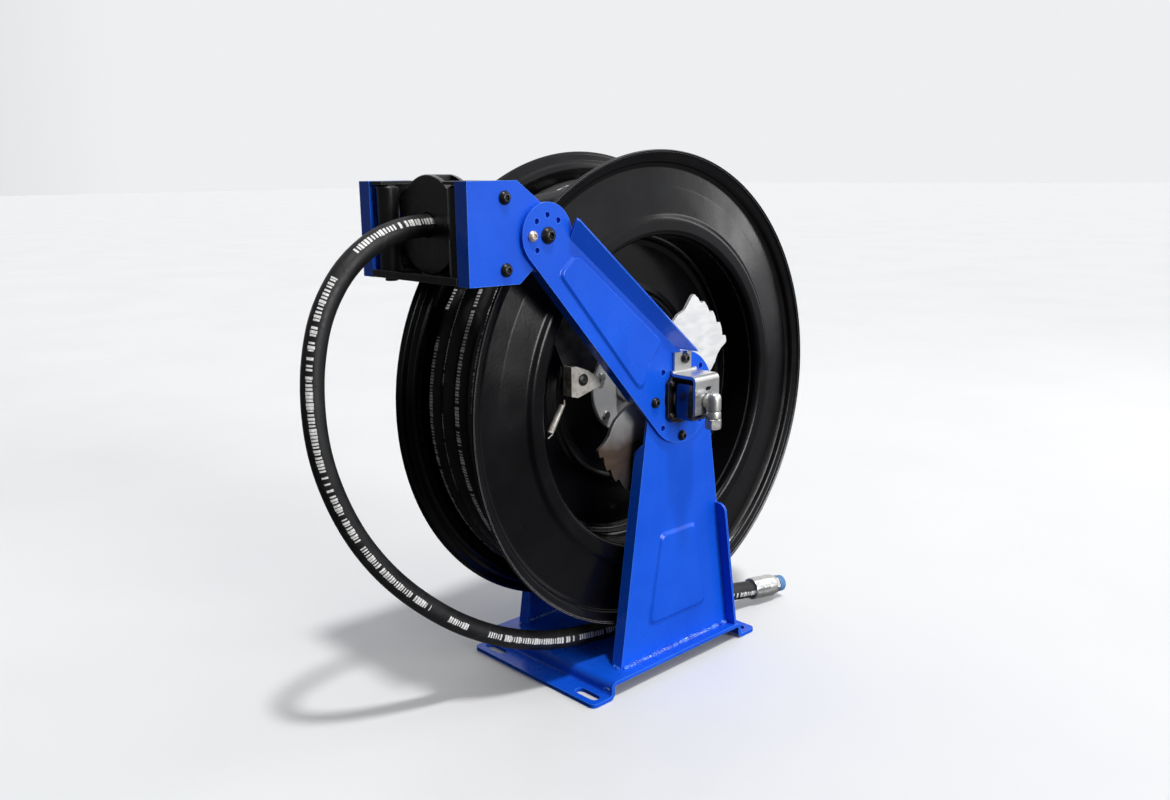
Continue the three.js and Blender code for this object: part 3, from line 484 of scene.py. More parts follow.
def turned(profile, axis="x", centre=AXLE, sides=64, ring=False):
    """A profile of (along, radius) turned about a line. ring says that it closes on itself."""
    verts, faces = [], []
    count = len(profile)
    for i in range(sides):
        t = i * 2 * math.pi / sides
        verts += [AXES[axis](centre[0] + r * math.cos(t), centre[1] + r * math.sin(t), w) for w, r in profile]
    for i in range(sides):
        a, b = i * count, (i + 1) % sides * count
        for j in range(count if ring else count - 1):
            k = (j + 1) % count
            faces.append([a + j, a + k, b + k, b + j])
    if not ring:
        faces.append([i * count for i in range(sides)])
        faces.append([i * count + count - 1 for i in range(sides)][::-1])
    return raw(verts, faces)


def rod(radius, low, high, axis, centre, sides=48):
    return turned([(low, radius), (high, radius)], axis, centre, sides)


def drill(radius, centre, sides=24):
    """A cutter along x, through every sheet on the near side."""
    return rod(radius, 40, 120, "x", centre, sides)


def hexagon(centre, radius, low, high, axis="z"):
    return prism(arc(*centre, radius, 0, 300, 5), low, high, axis)


def hex_nut(centre, radius, low, high, chamfered, axis="z", sides=64):
    """A hexagon whose corners are cut off by a turned profile."""
    limits = turned(chamfered, axis, centre, sides)
    return combine("INTERSECT", hexagon(centre, radius, low, high, axis), limits)


def frames_along(points):
    """Each point's direction and two steady cross directions."""
    made = []
    side = None
    for i, point in enumerate(points):
        run = (points[min(i + 1, len(points) - 1)] - points[max(i - 1, 0)]).normalized()
        if side is None:
            side = run.cross(Vector((0, 0, 1))) if abs(run.z) < 0.9 else run.cross(Vector((1, 0, 0)))
        side = (side - run * side.dot(run)).normalized()
        made.append((point, side, run.cross(side)))
    return made


def pipe(points, radius, sides=24, twist=None, start=0.0):
    """A round tube along points. Its UV map holds metres along it and turns round it."""
    verts, faces, marks = [], [], []
    travelled = start
    last = points[0]
    for i, (point, side, rise) in enumerate(frames_along(points)):
        travelled += (point - last).length / 1000
        last = point
        r = radius(i) if callable(radius) else radius
        spin = twist(i, point, side, rise) if twist else 0.0
        for k in range(sides):
            t = 2 * math.pi * k / sides
            verts.append(point + side * (r * math.cos(t + spin)) + rise * (r * math.sin(t + spin)))
        marks.append(travelled)
    rows = len(points)
    for i in range(rows - 1):
        for k in range(sides):
            j = (k + 1) % sides
            faces.append([i * sides + k, (i + 1) * sides + k, (i + 1) * sides + j, i * sides + j])
    faces.append(list(range(sides)))
    faces.append([(rows - 1) * sides + k for k in range(sides)][::-1])
    made = raw(verts, faces)
    layer = made.data.uv_layers.new(name="hose")
    for polygon in made.data.polygons:
        ks = [made.data.loops[l].vertex_index % sides for l in polygon.loop_indices]
        wraps = max(ks) - min(ks) > sides / 2
        for l, k in zip(polygon.loop_indices, ks):
            row = made.data.loops[l].vertex_index // sides
            turn = (k + sides if wraps and k < sides / 2 else k) / sides
            layer.data[l].uv = (marks[row], turn)
    return made


def merge(*objects):
    """Objects as one, their shells kept apart."""
    first = objects[0]
    bm = bmesh.new()
    for each in objects:
        bm.from_mesh(each.data)
    bm.to_mesh(first.data)
    bm.free()
    for each in objects[1:]:
        bpy.data.objects.remove(each)
    return first


def bake(made):
    """Makes what the modifiers give the object's own mesh."""
    graph = bpy.context.evaluated_depsgraph_get()
    shown = made.evaluated_get(graph)
    mesh = bpy.data.meshes.new_from_object(shown, preserve_all_data_layers=True, depsgraph=graph)
    made.modifiers.clear()
    made.data = mesh
    return made


def combine(operation, first, *others):
    for other in others:
        step = first.modifiers.new("combine", "BOOLEAN")
        step.operation = operation
        step.solver = "EXACT"
        step.object = other
    bake(first)
    for other in others:
        bpy.data.objects.remove(other)
    return first


def union(first, *others):
    return combine("UNION", first, *others)


def cut(first, *others):
    return combine("DIFFERENCE", first, *others)


def mirror(made):
    made.data.transform(Matrix.Scale(-1, 4, (1, 0, 0)))
    made.data.flip_normals()
    return made


def moved(made, x, y, z):
    made.data.transform(Matrix.Translation((x, y, z)))
    return made


def bevelled(made, width, segments, angle):
    """Rounds the edges that bend by more than angle, in degrees."""
    edge = made.modifiers.new("bevel", "BEVEL")
    edge.width = width
    edge.segments = segments
    edge.limit_method = "ANGLE"
    edge.angle_limit = math.radians(angle)
    return bake(made)


def piece(name, made, body, finish, *nodes, bevel=0.5, angle=32, smooth=40):
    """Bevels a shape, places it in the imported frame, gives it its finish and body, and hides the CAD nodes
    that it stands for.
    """
    if bevel:
        bevelled(made, bevel, 3, angle)
    mesh = made.data
    mesh.transform(TO_FRAME)
    mesh.shade_smooth()
    mesh.set_sharp_from_angle(angle=math.radians(smooth))
    even = made.modifiers.new("even", "WEIGHTED_NORMAL")
    even.keep_sharp = True
    bake(made)
    made.name = name
    made.data.name = name
    made.data.materials.clear()
    made.data.materials.append(finish[1])
    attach(made, body)
    if nodes:
        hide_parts(*nodes)
    return made


# ---- free hose, and what is on it


def smooth_path(points, steps):
    """A centripetal Catmull-Rom curve through the points, sampled evenly in its parameter."""
    points = [Vector(p) for p in points]
    ends = [points[0] * 2 - points[1], *points, points[-1] * 2 - points[-2]]
    made = []
    for i in range(1, len(ends) - 2):
        p0, p1, p2, p3 = ends[i - 1:i + 3]
        t1 = (p1 - p0).length ** 0.5
        t2 = t1 + (p2 - p1).length ** 0.5
        t3 = t2 + (p3 - p2).length ** 0.5
        for k in range(steps):
            t = t1 + (t2 - t1) * k / steps
            a1 = p0 * ((t1 - t) / t1) + p1 * (t / t1)
            a2 = p1 * ((t2 - t) / (t2 - t1)) + p2 * ((t - t1) / (t2 - t1))
            a3 = p2 * ((t3 - t) / (t3 - t2)) + p3 * ((t - t2) / (t3 - t2))
            b1 = a1 * ((t2 - t) / t2) + a2 * (t / t2)
            b2 = a2 * ((t3 - t) / (t3 - t1)) + a3 * ((t - t1) / (t3 - t1))
            made.append(b1 * ((t2 - t) / (t2 - t1)) + b2 * ((t - t1) / (t2 - t1)))
    made.append(points[-1])
    return made


HOSE_ROUTE = [
    (0, BUMPER_BACK_Y, HOSE_Z), (0, BUMPER_FRONT_Y, HOSE_Z), (0, -272, 465), (0, -302, 454), (0, -330, 432),
    (0, -351, 400), (0, -362, 362), (0, -365, 322), (0, -361, 281), (0, -349, 240), (0, -329, 198),
    (0, -300, 157), (1, -262, 118), (2, -217, 83), (5, -168, 56), (9, -116, 38), (14, -62, 30.4),
    (20, -8, 28.8), (26, 46, 28.8), (33, 96, 28.4), (39.5, 136, 24), (43.8, 172.2, 19.3),
]
FEED_ROUTE = [
    (0, BUMPER_BACK_Y + 0.4, HOSE_Z), (0, -205, 468.3), (1, -188, 471.8), (5, -160, 476.2),
    (10.5, -122, 481.7), (12, -95, 485.6), (12, -60, 490.6), (12, -30, 494.9),
]
HOSE_END = Vector(HOSE_ROUTE[-1])
HOSE_END_RUN = Vector((5.5, 32, -2.6)).normalized()


def facing(direction, drift):
    """Turns a tube so that its printed line looks towards direction(point), drifting slowly round."""
    def spin(i, point, side, rise):
        wanted = direction(point)
        return math.atan2(wanted.dot(rise), wanted.dot(side)) - math.pi + drift(i)
    return spin


def on_hose_end(made):
    """Takes a shape from its own z axis to the end of the hose."""
    made.data.transform(HOSE_END_RUN.to_track_quat("Z", "Y").to_matrix().to_4x4())
    return moved(made, *HOSE_END)


def fluted(made, low, high, count, depth):
    """Presses flutes into a piece turned about Z, between two heights."""
    for vertex in made.data.vertices:
        x, y, z = vertex.co
        if low <= z <= high:
            share = 1 - depth * (0.5 + 0.5 * math.cos(count * math.atan2(y, x)))
            vertex.co = (x * share, y * share, z)
    return made


hose_points = smooth_path(HOSE_ROUTE, 12)
look = facing(lambda p: Vector((0.75, -0.5, 0.25 if p.z > 300 else 0.1)), lambda i: 0.25 * math.sin(i / 34))
free_hose = pipe(hose_points, HOSE_R, 32, look)
piece("free_hose_tube", free_hose, "frame", RUBBER, "free_hose", bevel=0)

ferrule_profile = [
    (0.8, 0.01), (0.8, 10.9), (1.2, 12.2), (2.2, 12.8), (4, 13), (5, 12.6), (6, 13), (13, 13),
    (14, 12.5), (15, 13), (23, 13), (24, 12.5), (25, 13), (33, 12.9), (35.2, 12), (36, 11), (36, 0.01),
]
ferrule = fluted(turned(ferrule_profile, "z", (0, 0), 96), 3, 32, 8, 0.05)
piece("crimped_ferrule", on_hose_end(ferrule), "frame", ZINC, "hose_ferrule", bevel=0.3)
nipple = hex_nut((0, 0), 11, 36.3, 42, [(36.3, 10), (37.3, 11), (41, 11), (42, 10)], sides=96)
piece("hex_nipple", on_hose_end(nipple), "frame", ZINC, "hose_nipple", bevel=0.3)
cap_profile = [
    (42.3, 0.01), (42.3, 9.4), (42.8, 10), (44.2, 10), (44.6, 9.7), (45.2, 9.7), (50.2, 9.7), (51.3, 9.4),
    (52, 8.6), (52, 6.6), (51.4, 6.2), (51.4, 0.01),
]
cap = fluted(turned(cap_profile, "z", (0, 0), 144), 45, 50.6, 24, 0.05)
piece("dust_cap", on_hose_end(cap), "frame", CAP, "hose_cap", bevel=0)


def bumper_half(side):
    """side is 1 for the upper half and -1 for the lower one."""

    def heights(low, high):
        return sorted((HOSE_Z + side * low, HOSE_Z + side * high))

    front, back, middle = BUMPER_FRONT_Y, BUMPER_BACK_Y, BUMPER_MIDDLE_Y
    shell = [(front, 41.8), (front + 0.4, 42.9), (front + 1.5, 43.5)]
    shell += [(back - 1.5, 43.5), (back - 0.4, 42.9), (back, 41.8)]
    flare = [(front - 1, 12.4), (front + 1, 10.4), (back - 1, 10.4), (back + 1, 12.4)]
    cuts = [
        block(-60, 60, front - 2, back + 2, *heights(-60, 0.25)),
        turned(flare, "y", (0, HOSE_Z), 64),
    ]
    for x in (-BUMPER_SCREW_X, BUMPER_SCREW_X):
        cuts.append(rod(6.5, *heights(17, 60), "z", (x, middle)))
        cuts.append(rod(3.3, HOSE_Z - 30, HOSE_Z + 30, "z", (x, middle), 24))
    for x in (-14.5, 14.5):
        cuts.append(block(x - 7, x + 7, middle - 8.5, middle + 8.5, *heights(24, 60)))
    return cut(turned(shell, "y", (0, HOSE_Z), 128), *cuts)


def cap_screw(low, high, head, shank, centre):
    """A socket screw through two halves, with its head at the high end and a hex nut at the low end."""
    profile = [(low, shank), (high, shank), (high, head), (high + 4.6, head), (high + 5, head * 0.93)]
    body = turned(profile, "z", centre, 48)
    nut = hexagon(centre, head, low - 4.6, low - 0.05)
    return merge(cut(body, hexagon(centre, head * 0.5, high + 2, high + 6)), nut)


on_hose = [bpy.data.objects[name] for name in ("crimped_ferrule", "hex_nipple", "dust_cap")]
for side, name in ((1, "bumper_upper_half"), (-1, "bumper_lower_half")):
    on_hose.append(piece(f"{name}_moulding", bumper_half(side), "frame", NYLON, name, bevel=0.6, angle=40))
for name, side in SIDES.items():
    screw = cap_screw(HOSE_Z - 17.2, HOSE_Z + 17.2, 5, 3, (side * BUMPER_SCREW_X, BUMPER_MIDDLE_Y))
    name = f"bumper_screw_{name}"
    on_hose.append(piece(f"{name}_socket", screw, "frame", OXIDE, name, bevel=0.3))

feed_points = smooth_path(FEED_ROUTE, 10)
feed = pipe(feed_points, HOSE_R, 32, facing(lambda p: Vector((0.3, -0.35, 1)), lambda i: 0.0), 3.1)
piece("feed_hose_tube", feed, "frame", RUBBER, "feed_hose", bevel=0)

# ---- wound hose


def winding():
    """The turns on the drum, from where the feed meets the drum inwards, layer by layer.

    Each turn runs straight for most of its way and steps over to the next one in the rest."""
    layers = {206.8: (16, -4, -24, -44), 189.6: (-34, -14, 6, 26), 172.6: (36, 16, -4, -24, -44)}
    turns = [(radius, x) for radius, xs in layers.items() for x in xs]
    points = []
    steps = 72
    straight = 0.84
    for here, after in zip(turns, turns[1:] + turns[-1:]):
        for k in range(steps):
            share = max(0.0, (k / steps - straight) / (1 - straight))
            ease = share * share * (3 - 2 * share)
            turn = math.radians(98.3) - 2 * math.pi * k / steps
            r, x = Vector(here).lerp(after, ease)
            points.append(Vector((x, r * math.cos(turn), AXLE_Z + r * math.sin(turn))))
    return points


def outwards(point):
    return Vector((0, point.y, point.z - AXLE_Z))


wound_look = facing(outwards, lambda i: 0.5 * math.sin(i / 50 + 0.6))
turns_of_hose = pipe(winding(), HOSE_R - 0.15, 20, wound_look, 4.0)
piece("wound_hose_turns", turns_of_hose, "drum", RUBBER, "wound_hose", bevel=0)

# ---- base and posts


def weld(points, radius, seed, sides=12):
    """A weld bead: a ribbed tube half sunk in the corner that it fills."""
    ripple = random.Random(seed)
    path = []
    for a, b in zip(points, points[1:]):
        a, b = Vector(a), Vector(b)
        steps = max(2, int((b - a).length / 0.7))
        path += [a + (b - a) * (i / steps) for i in range(steps)]
    path.append(Vector(points[-1]))
    swell = [ripple.uniform(0.7, 1.15) for _ in range(len(path) // 4 + 2)]

    def size(i):
        edge = min(1, (i + 1) / 4, (len(path) - i) / 4)
        return radius * edge * swell[i // 4] * (1 + 0.2 * math.sin(i * 2 * math.pi / 5))

    return pipe(path, size, sides)


def both_sides(make, name, node, bevel):
    """One blue sheet as made on the near side, and its mirror image on the far side."""
    for side, sign in SIDES.items():
        sheet = make() if sign > 0 else mirror(make())
        piece(f"{side}_{name}", sheet, "frame", BLUE, f"{side}_{node}", bevel=bevel)


def slot(u, v, radius, half_length, steps=12):
    ends = arc(u - half_length, v, radius, 90, 270, steps)
    return ends + arc(u + half_length, v, radius, -90, 90, steps)


def base():
    line = [(-138, 2), (-110, 2), (-110, DECK_Z - 2), (90, DECK_Z - 2), (90, 2), (118, 2)]
    sheet = prism(thickened(filleted(line, 5.5, closed=False, steps=6), 4), -94, 94)
    plan = prism(filleted([(-94, -138), (94, -138), (94, 118), (-94, 118)], 7, steps=6), -1, 30, "z")
    sheet = combine("INTERSECT", sheet, plan)
    holes = [prism(slot(x, y, 5.5, 10), -2, 6, "z") for x in (-72, 72) for y in (-125, 105)]
    holes.append(prism(slot(86.5, 9, 2.2, 2, 10), -116, -104, "y"))
    return cut(sheet, *holes)


def taper(z):
    """Half the depth of a post's plate at a height."""
    return POST_REACH - (z - DECK_Z) * (POST_REACH - POST_R) / (AXLE_Z - DECK_Z)


EMBOSS_ROOT = 2
SHOULDER = ((0, 0), (0.12, 0.02), (0.3, 0.16), (0.5, 0.5), (0.7, 0.84), (0.88, 0.98), (1, 1))


def embossed(points, radius, low, high, ramp):
    """A raised panel on +x whose sides slope in by ramp, with rounded shoulders."""
    middle = [sum(v) / len(points) for v in zip(*points)]
    inner = []
    for i, point in enumerate(points):
        here, before, after = Vector(point), Vector(points[i - 1]), Vector(points[(i + 1) % len(points)])
        edge_in, edge_out = (here - before).normalized(), (after - here).normalized()
        normals = [Vector((-e.y, e.x)) for e in (edge_in, edge_out)]
        centre = Vector(middle) - here
        normals = [n if n.dot(centre) > 0 else -n for n in normals]
        inner.append(here + (normals[0] + normals[1]) * (ramp / (1 + normals[0].dot(normals[1]))))
    rings = []
    for share, lift in SHOULDER:
        ring = [tuple(Vector(p).lerp(q, share)) for p, q in zip(points, inner)]
        rings.append((low + (high - low) * lift, filleted(ring, radius, steps=6)))
    count = len(rings[0][1])
    verts = [(low - EMBOSS_ROOT, u, v) for u, v in rings[0][1]]
    for x, ring in rings:
        verts += [(x, u, v) for u, v in ring]
    faces = [list(range(count)), list(range(len(verts) - count, len(verts)))[::-1]]
    for row in range(len(rings)):
        for i in range(count):
            k = (i + 1) % count
            a, b = row * count, (row + 1) * count
            faces.append([a + i, a + k, b + k, b + i])
    return raw(verts, faces)


def post():
    front_top, rear_top, inside = 246, 163, POST_X - 3
    plate = [(-POST_REACH, DECK_Z), (POST_REACH, DECK_Z), *arc(*AXLE, POST_R, 0, 180, 40)]
    front = [(-POST_REACH, DECK_Z), (3 - POST_REACH, DECK_Z)]
    front += [(3 - taper(front_top), front_top), (-taper(front_top), front_top)]
    cropped = prism([(66, 236), (66, 250), (79, 250)], -120, 120, "y")
    front = cut(prism(front, 67, POST_X), cropped)
    rear = [(POST_REACH - 3, DECK_Z), (POST_REACH, DECK_Z)]
    rear += [(taper(rear_top), rear_top), (taper(rear_top) - 3, rear_top)]
    rounding = cut(
        block(84, 96, 0, 120, 150, 170), rod(9, -10, 130, "y", (84, 154), 48),
        block(80, 84, -1, 121, 140, 180), block(80, 97, -1, 121, 140, 154),
    )
    rear = cut(prism(rear, inside, 93), rounding)
    panel = embossed([(-47, 52), (47, 52), (28, 150), (-28, 150)], 8, POST_X - 0.02, POST_X + 2.4, 5)
    return cut(union(prism(plate, inside, POST_X), front, rear, panel), drill(BEARING_HOLE_R, AXLE, 96))


piece("base_plate_bent", base(), "frame", BLUE, "base_plate", bevel=0.6, angle=45)
both_sides(post, "post_sheet", "post", 0.8)
for name, side in SIDES.items():
    outer, inner = side * (POST_X + 0.6), side * (POST_X - 3.6)
    beads = [
        weld([(outer, -83, 18.6), (outer, 83, 18.6)], 3, 3 + side),
        weld([(inner, -80, 18.4), (inner, 80, 18.4)], 2.4, 6 + side),
        weld([(side * 79, -85.6, 18.3), (side * 68, -85.6, 18.3)], 2.4, 9 + side),
    ]
    piece(f"{name}_post_weld", merge(*beads), "frame", BEAD, bevel=0, smooth=80)

# ---- arms and guide head

ARM_REACH = math.hypot(PIVOT[0], PIVOT[1] - AXLE_Z)
ARM_RUN = Vector((0, -PIVOT[0] / ARM_REACH, (AXLE_Z - PIVOT[1]) / ARM_REACH))
ARM_RISE = Vector((0, -ARM_RUN.z, ARM_RUN.y))


def arm_point(down, above, x):
    """A place by its distance down the arm from the pivot and above the arm's middle line."""
    return Vector((x, *PIVOT)) + ARM_RUN * down + ARM_RISE * above


def hull(points):
    """The smallest flat-sided solid that holds the points."""
    bm = bmesh.new()
    for point in points:
        bm.verts.new(point)
    bmesh.ops.convex_hull(bm, input=bm.verts)
    bmesh.ops.dissolve_limit(bm, angle_limit=0.01, verts=bm.verts, edges=bm.edges)
    mesh = bpy.data.meshes.new("hull")
    bm.to_mesh(mesh)
    bm.free()
    return shape(mesh)


def arm_flange():
    """The bent upper edge: it leans out as it leaves the sheet and is rounded at the pivot's end."""
    corners = [arm_point(22, 14.4, ARM_X - ARM_SHEET), arm_point(22, 14.4, ARM_X)]
    corners += [arm_point(205, 30.3, ARM_X - ARM_SHEET), arm_point(205, 30.3, ARM_X)]
    for down, above, rise in ((224, 42.4, 9), (10.6, 24.9, 9.4), (9.6, 26.2, 10.9), (12.4, 27.3, 11.5)):
        corners += [arm_point(down, above, ARM_X + rise), arm_point(down, above + 2.6, ARM_X + rise - 2.6)]
    return hull(corners)


def arm_lip(tangent):
    """The thicker lower edge, along the line that touches both round ends."""
    across = Vector((1, 0, 0))
    outward = Vector((0, math.cos(tangent), math.sin(tangent)))
    run = across.cross(outward)
    lip = block(-6, 6, -91, 91, -1.5, 1.5)
    lip.data.transform(Matrix((across, run, across.cross(run))).transposed().to_4x4())
    return moved(lip, *(Vector((ARM_X - 6, *PIVOT)) + outward * 27 + run * 107))


def arm():
    tangent = math.atan2(PIVOT[1] - AXLE_Z, PIVOT[0]) + math.acos((ARM_R - ARM_HEAD_R) / ARM_REACH)
    degrees = math.degrees(tangent)
    outline = arc(*AXLE, ARM_R, degrees, 360 + math.degrees(1.61), 72)
    outline += arc(*PIVOT, ARM_HEAD_R, math.degrees(-0.17), degrees, 60)
    sheet = prism(outline, ARM_X - ARM_SHEET, ARM_X)
    corners = [(31, -18), (34, 6), (41, 13), (184, 24), (182, 0), (197, -34)]
    outline = [arm_point(*corner, 0).yz for corner in corners]
    panel = embossed(outline, [7, 4, 4, 6, 6, 9], ARM_X - 0.02, ARM_X + 2, 3.4)
    holes = [drill(BEARING_HOLE_R, AXLE, 96)]
    holes += [drill(3.2, spot) for spot in arc(*AXLE, 40, 0, 315, 7)]
    holes.append(drill(4.4, PIVOT))
    holes += [drill(2.6, spot) for spot in arc(*PIVOT, 17.5, 45, 225, 4)]
    return cut(union(sheet, arm_flange(), arm_lip(tangent), panel), *holes)


def head_plate():
    outline = [(-260, 420), (-206, 419), *arc(*PIVOT, 27, math.degrees(-1.95), math.degrees(1.65), 40)]
    outline += [(-207, 506), (-260, 506)]
    plate = union(prism(outline, 77, 80), block(64, 80, -260, -257, 420, 506))
    holes = [drill(3.3, (HEAD_SCREW_Y, z)) for z in HEAD_SCREW_ZS.values()]
    return cut(plate, drill(4.4, PIVOT), drill(2.6, SET_SPOT), *holes)


def with_ears(plate, ear, roller_z, screw_z):
    """A guide bracket's plate with an ear at each end, drilled for its rollers and screws."""
    holes = [rod(4.2, -80, 80, "x", (ROLLER_Y, roller_z), 32)]
    holes.append(rod(3.3, -80, 80, "x", (HEAD_SCREW_Y, screw_z), 24))
    for side in SIDES.values():
        low, high = sorted((side * 73.7, side * 76.7))
        plate = union(plate, prism(filleted(ear, 3), low, high))
        holes.append(rod(3.3, 410, 515, "z", (side * SIDE_ROLLER[0], SIDE_ROLLER[1]), 24))
    return cut(plate, *holes)


def lower_bracket():
    plate = union(
        block(-63.6, 63.6, -261, -240, 420.5, 423.5), block(-76.7, 76.7, -250, -212, 420.5, 423.5),
        block(-63.6, 63.6, -261, -258.5, 420.5, 427),
    )
    ear = [(-240, 420.5), (-205, 420.5), (-190, 433), (-190, 452), (-240, 452)]
    return with_ears(plate, ear, GUIDE_Z - ROLLER_RISE, HEAD_SCREW_ZS["lower"])


def upper_bracket():
    half = [(45.5, -214.5, 5), (45.5, -259, 1), (63.6, -259, 1)]
    half += [(63.6, -250, 1), (76.7, -250, 1), (76.7, -205, 3)]
    roof = [(-x, y, rounding) for x, y, rounding in reversed(half)] + half
    plate = prism(filleted([corner[:2] for corner in roof], [corner[2] for corner in roof]), 503, 505.8, "z")
    ear = [(-240, 476), (-190, 476), (-190, 493), (-205, 504), (-240, 504)]
    return with_ears(plate, ear, GUIDE_Z + ROLLER_RISE, HEAD_SCREW_ZS["upper"])


both_sides(arm, "arm_sheet", "arm", 0.7)
both_sides(head_plate, "head_sheet", "head_plate", 0.8)
piece("lower_bracket_sheet", lower_bracket(), "frame", OXIDE, "guide_lower_bracket")
piece("upper_bracket_sheet", upper_bracket(), "frame", OXIDE, "guide_upper_bracket")


def roller(low, high, radius, axis, centre, bore):
    half = [(0, bore), (0, radius - 2.6), (0.8, radius - 2.2), (0.8, radius - 0.9), (1.8, radius)]
    profile = [(low + a, r) for a, r in half] + [(high - a, r) for a, r in reversed(half)]
    return turned(profile, axis, centre, 72, ring=True)


for name, z in (("lower", GUIDE_Z - ROLLER_RISE), ("upper", GUIDE_Z + ROLLER_RISE)):
    tube = roller(-72, 72, 9, "x", (ROLLER_Y, z), 4.3)
    piece(f"{name}_roller_tube", tube, f"{name}_level_roller", NYLON, f"{name}_roller", bevel=0)
    axle = turned([(-76.7, 3.4), (-76.1, 4), (76.1, 4), (76.7, 3.4)], "x", (ROLLER_Y, z), 48)
    piece(f"{name}_axle_pin", axle, "frame", ZINC, f"{name}_roller_axle", bevel=0)
for name, side in SIDES.items():
    centre = (side * SIDE_ROLLER[0], SIDE_ROLLER[1])
    tube = roller(424.5, 502, 10, "z", centre, 3.4)
    piece(f"{name}_side_roller_tube", tube, f"{name}_upright_roller", NYLON, f"{name}_side_roller", bevel=0)
    bolt = merge(rod(3, 420.4, 505.4, "z", centre, 32), hexagon(centre, 6, 416.5, 420.2))
    piece(f"{name}_side_bolt_hex", bolt, "frame", OXIDE, f"{name}_side_roller_bolt", bevel=0.4)

# ---- fasteners


def polar(degrees, radius):
    return arc(*AXLE, radius, degrees, degrees, 1)[0]


def button_screw(head, height, shank, length, hex_share=0.46):
    """A button-head screw on +x with its seat at x = 0."""
    dome = [(0, 0.97), (0.18, 1), (0.5, 0.9), (0.8, 0.68), (0.96, 0.5), (1, 0.4)]
    profile = [(-length, shank), (0, shank)] + [(height * up, head * out) for up, out in dome]
    recess = hexagon((0, 0), head * hex_share, height * 0.4, height + 1, "x")
    return cut(turned(profile, "x", (0, 0), 48), recess)


def hex_screw():
    """A small hex-head screw on +x with its seat at x = 0."""
    chamfered = [(0, 4.6), (2.4, 4.6), (3.2, 4.6 * 0.82)]
    return merge(rod(2.4, -3, 0.05, "x", (0, 0), 32), hex_nut((0, 0), 4.6, 0, 3.2, chamfered, "x"))


def fasten(name, node, made, seat, spot, finish=OXIDE, side=1):
    made = moved(made, seat, *spot)
    piece(name, made if side > 0 else mirror(made), "frame", finish, node, bevel=0.25)


for name, side in SIDES.items():
    seat = ARM_X + 0.2
    fasten(f"{name}_pivot_screw", f"{name}_pivot_bolt", button_screw(7.5, 5, 4, 10), seat, PIVOT, side=side)
    set_screw = button_screw(5, 3.5, 2.4, 10, 0.5)
    fasten(f"{name}_set_screw", f"{name}_set_bolt", set_screw, seat, SET_SPOT, BRASSY, side)
    for level, z in HEAD_SCREW_ZS.items():
        screw = button_screw(6, 4, 3, 9)
        node = f"{name}_head_screw_{level}"
        fasten(f"{name}_{level}_head_button", node, screw, 80.2, (HEAD_SCREW_Y, z), side=side)
for name, degrees, seat in (("top", 90, 3.4), ("front", 180, 0), ("low", 270, 0)):
    spot = polar(degrees, 40)
    screw = button_screw(5.5, 4, 3, 3.4 + seat)
    fasten(f"arm_{name}_button", f"arm_bolt_{name}", screw, ARM_X + seat + 0.2, spot)

# ---- bearing, swivel and latch

def from_axle(points):
    return [(y, AXLE_Z + z) for y, z in points]


def four_corners(y, z):
    return [(-y, z), (y, z), (y, -z), (-y, -z)]


chamfered = [(-25, -17), (-19, -23), (19, -23), (25, -17), (25, 17), (19, 23), (-19, 23), (-25, 17)]
flange = prism(from_axle(chamfered), ARM_X + 0.3, ARM_X + 4)
barrel_part = turned([(62.3, 25), (63.3, 26), (83.8, 26), (83.8, 22.5), (85, 22.5)], sides=96)
housing = cut(union(flange, barrel_part), drill(17.5, AXLE, 96))
piece("near_bearing_casting", housing, "frame", OXIDE, "near_bearing_housing", bevel=0.6)
for i, spot in enumerate(from_axle(four_corners(20.5, 16.5))):
    screw = moved(button_screw(3.7, 3, 1.8, 3, 0.42), ARM_X + 4.1, *spot)
    piece(f"bearing_screw_{i + 1}", screw, "frame", OXIDE, bevel=0.2)

square = filleted(from_axle(four_corners(25, 25)), 5)
far_flange = cut(union(prism(square, 84.3, 88), rod(25.9, 77, 85, "x", AXLE, 96)), drill(12.5, AXLE, 96))
piece("far_bearing_casting", mirror(far_flange), "frame", OXIDE, "far_bearing_flange", bevel=0.6)
for i, spot in enumerate(from_axle(four_corners(18, 18))):
    screw = mirror(moved(hex_screw(), 88.1, *spot))
    piece(f"far_bearing_screw_{i + 1}", screw, "frame", ZINC, bevel=0.25)

anchor = turned([(-95.5, 10.8), (-94.3, 12), (-38, 12)], sides=72)
anchor = cut(anchor, block(-97, -84, -1.6, 1.6, AXLE_Z - 14, AXLE_Z + 14))
piece("spring_anchor_bar", anchor, "frame", ZINC, "spring_anchor_shaft", bevel=0.3)

# The block's edges are rounded before its bore is cut, so that the bore keeps its size.
swivel = prism(from_axle(filleted(four_corners(19.5, 19.5), 8)), 89.4, 113.7)
swivel = cut(bevelled(swivel, 5, 8, 50), rod(10.5, 88, 102.5, "x", AXLE, 64))
piece("swivel_block", swivel, "frame", CHROME, "swivel_body", bevel=0.2)
stem = turned([(114, 7.6), (114.4, 8), (117.4, 8)])
piece("swivel_stem_turned", stem, "frame", ZINC, "swivel_stem", bevel=0)
leg_profile = [
    (-15.5, 6.6), (-14.7, 7.6), (-10, 7.6), (-9, 7), (-7.8, 7), (-7, 7.6), (4.5, 7.6), (7.8, 6.6),
    (9.7, 4.6), (10.5, 2.4), (10.6, 0.01),
]
leg = turned([(AXLE_Z + rise, r) for rise, r in leg_profile], "z", (LEG_X, 0))
across = turned([(117.6, 7.4), (118.4, 8), (LEG_X, 8)])
piece("elbow_body", union(leg, across), "frame", ZINC, "inlet_elbow", bevel=0.5, angle=45)
nut = hex_nut((LEG_X, 0), 8.6, 263, 273.2, [(263, 7.5), (264.2, 8.6), (272, 8.6), (273.2, 7.5)])
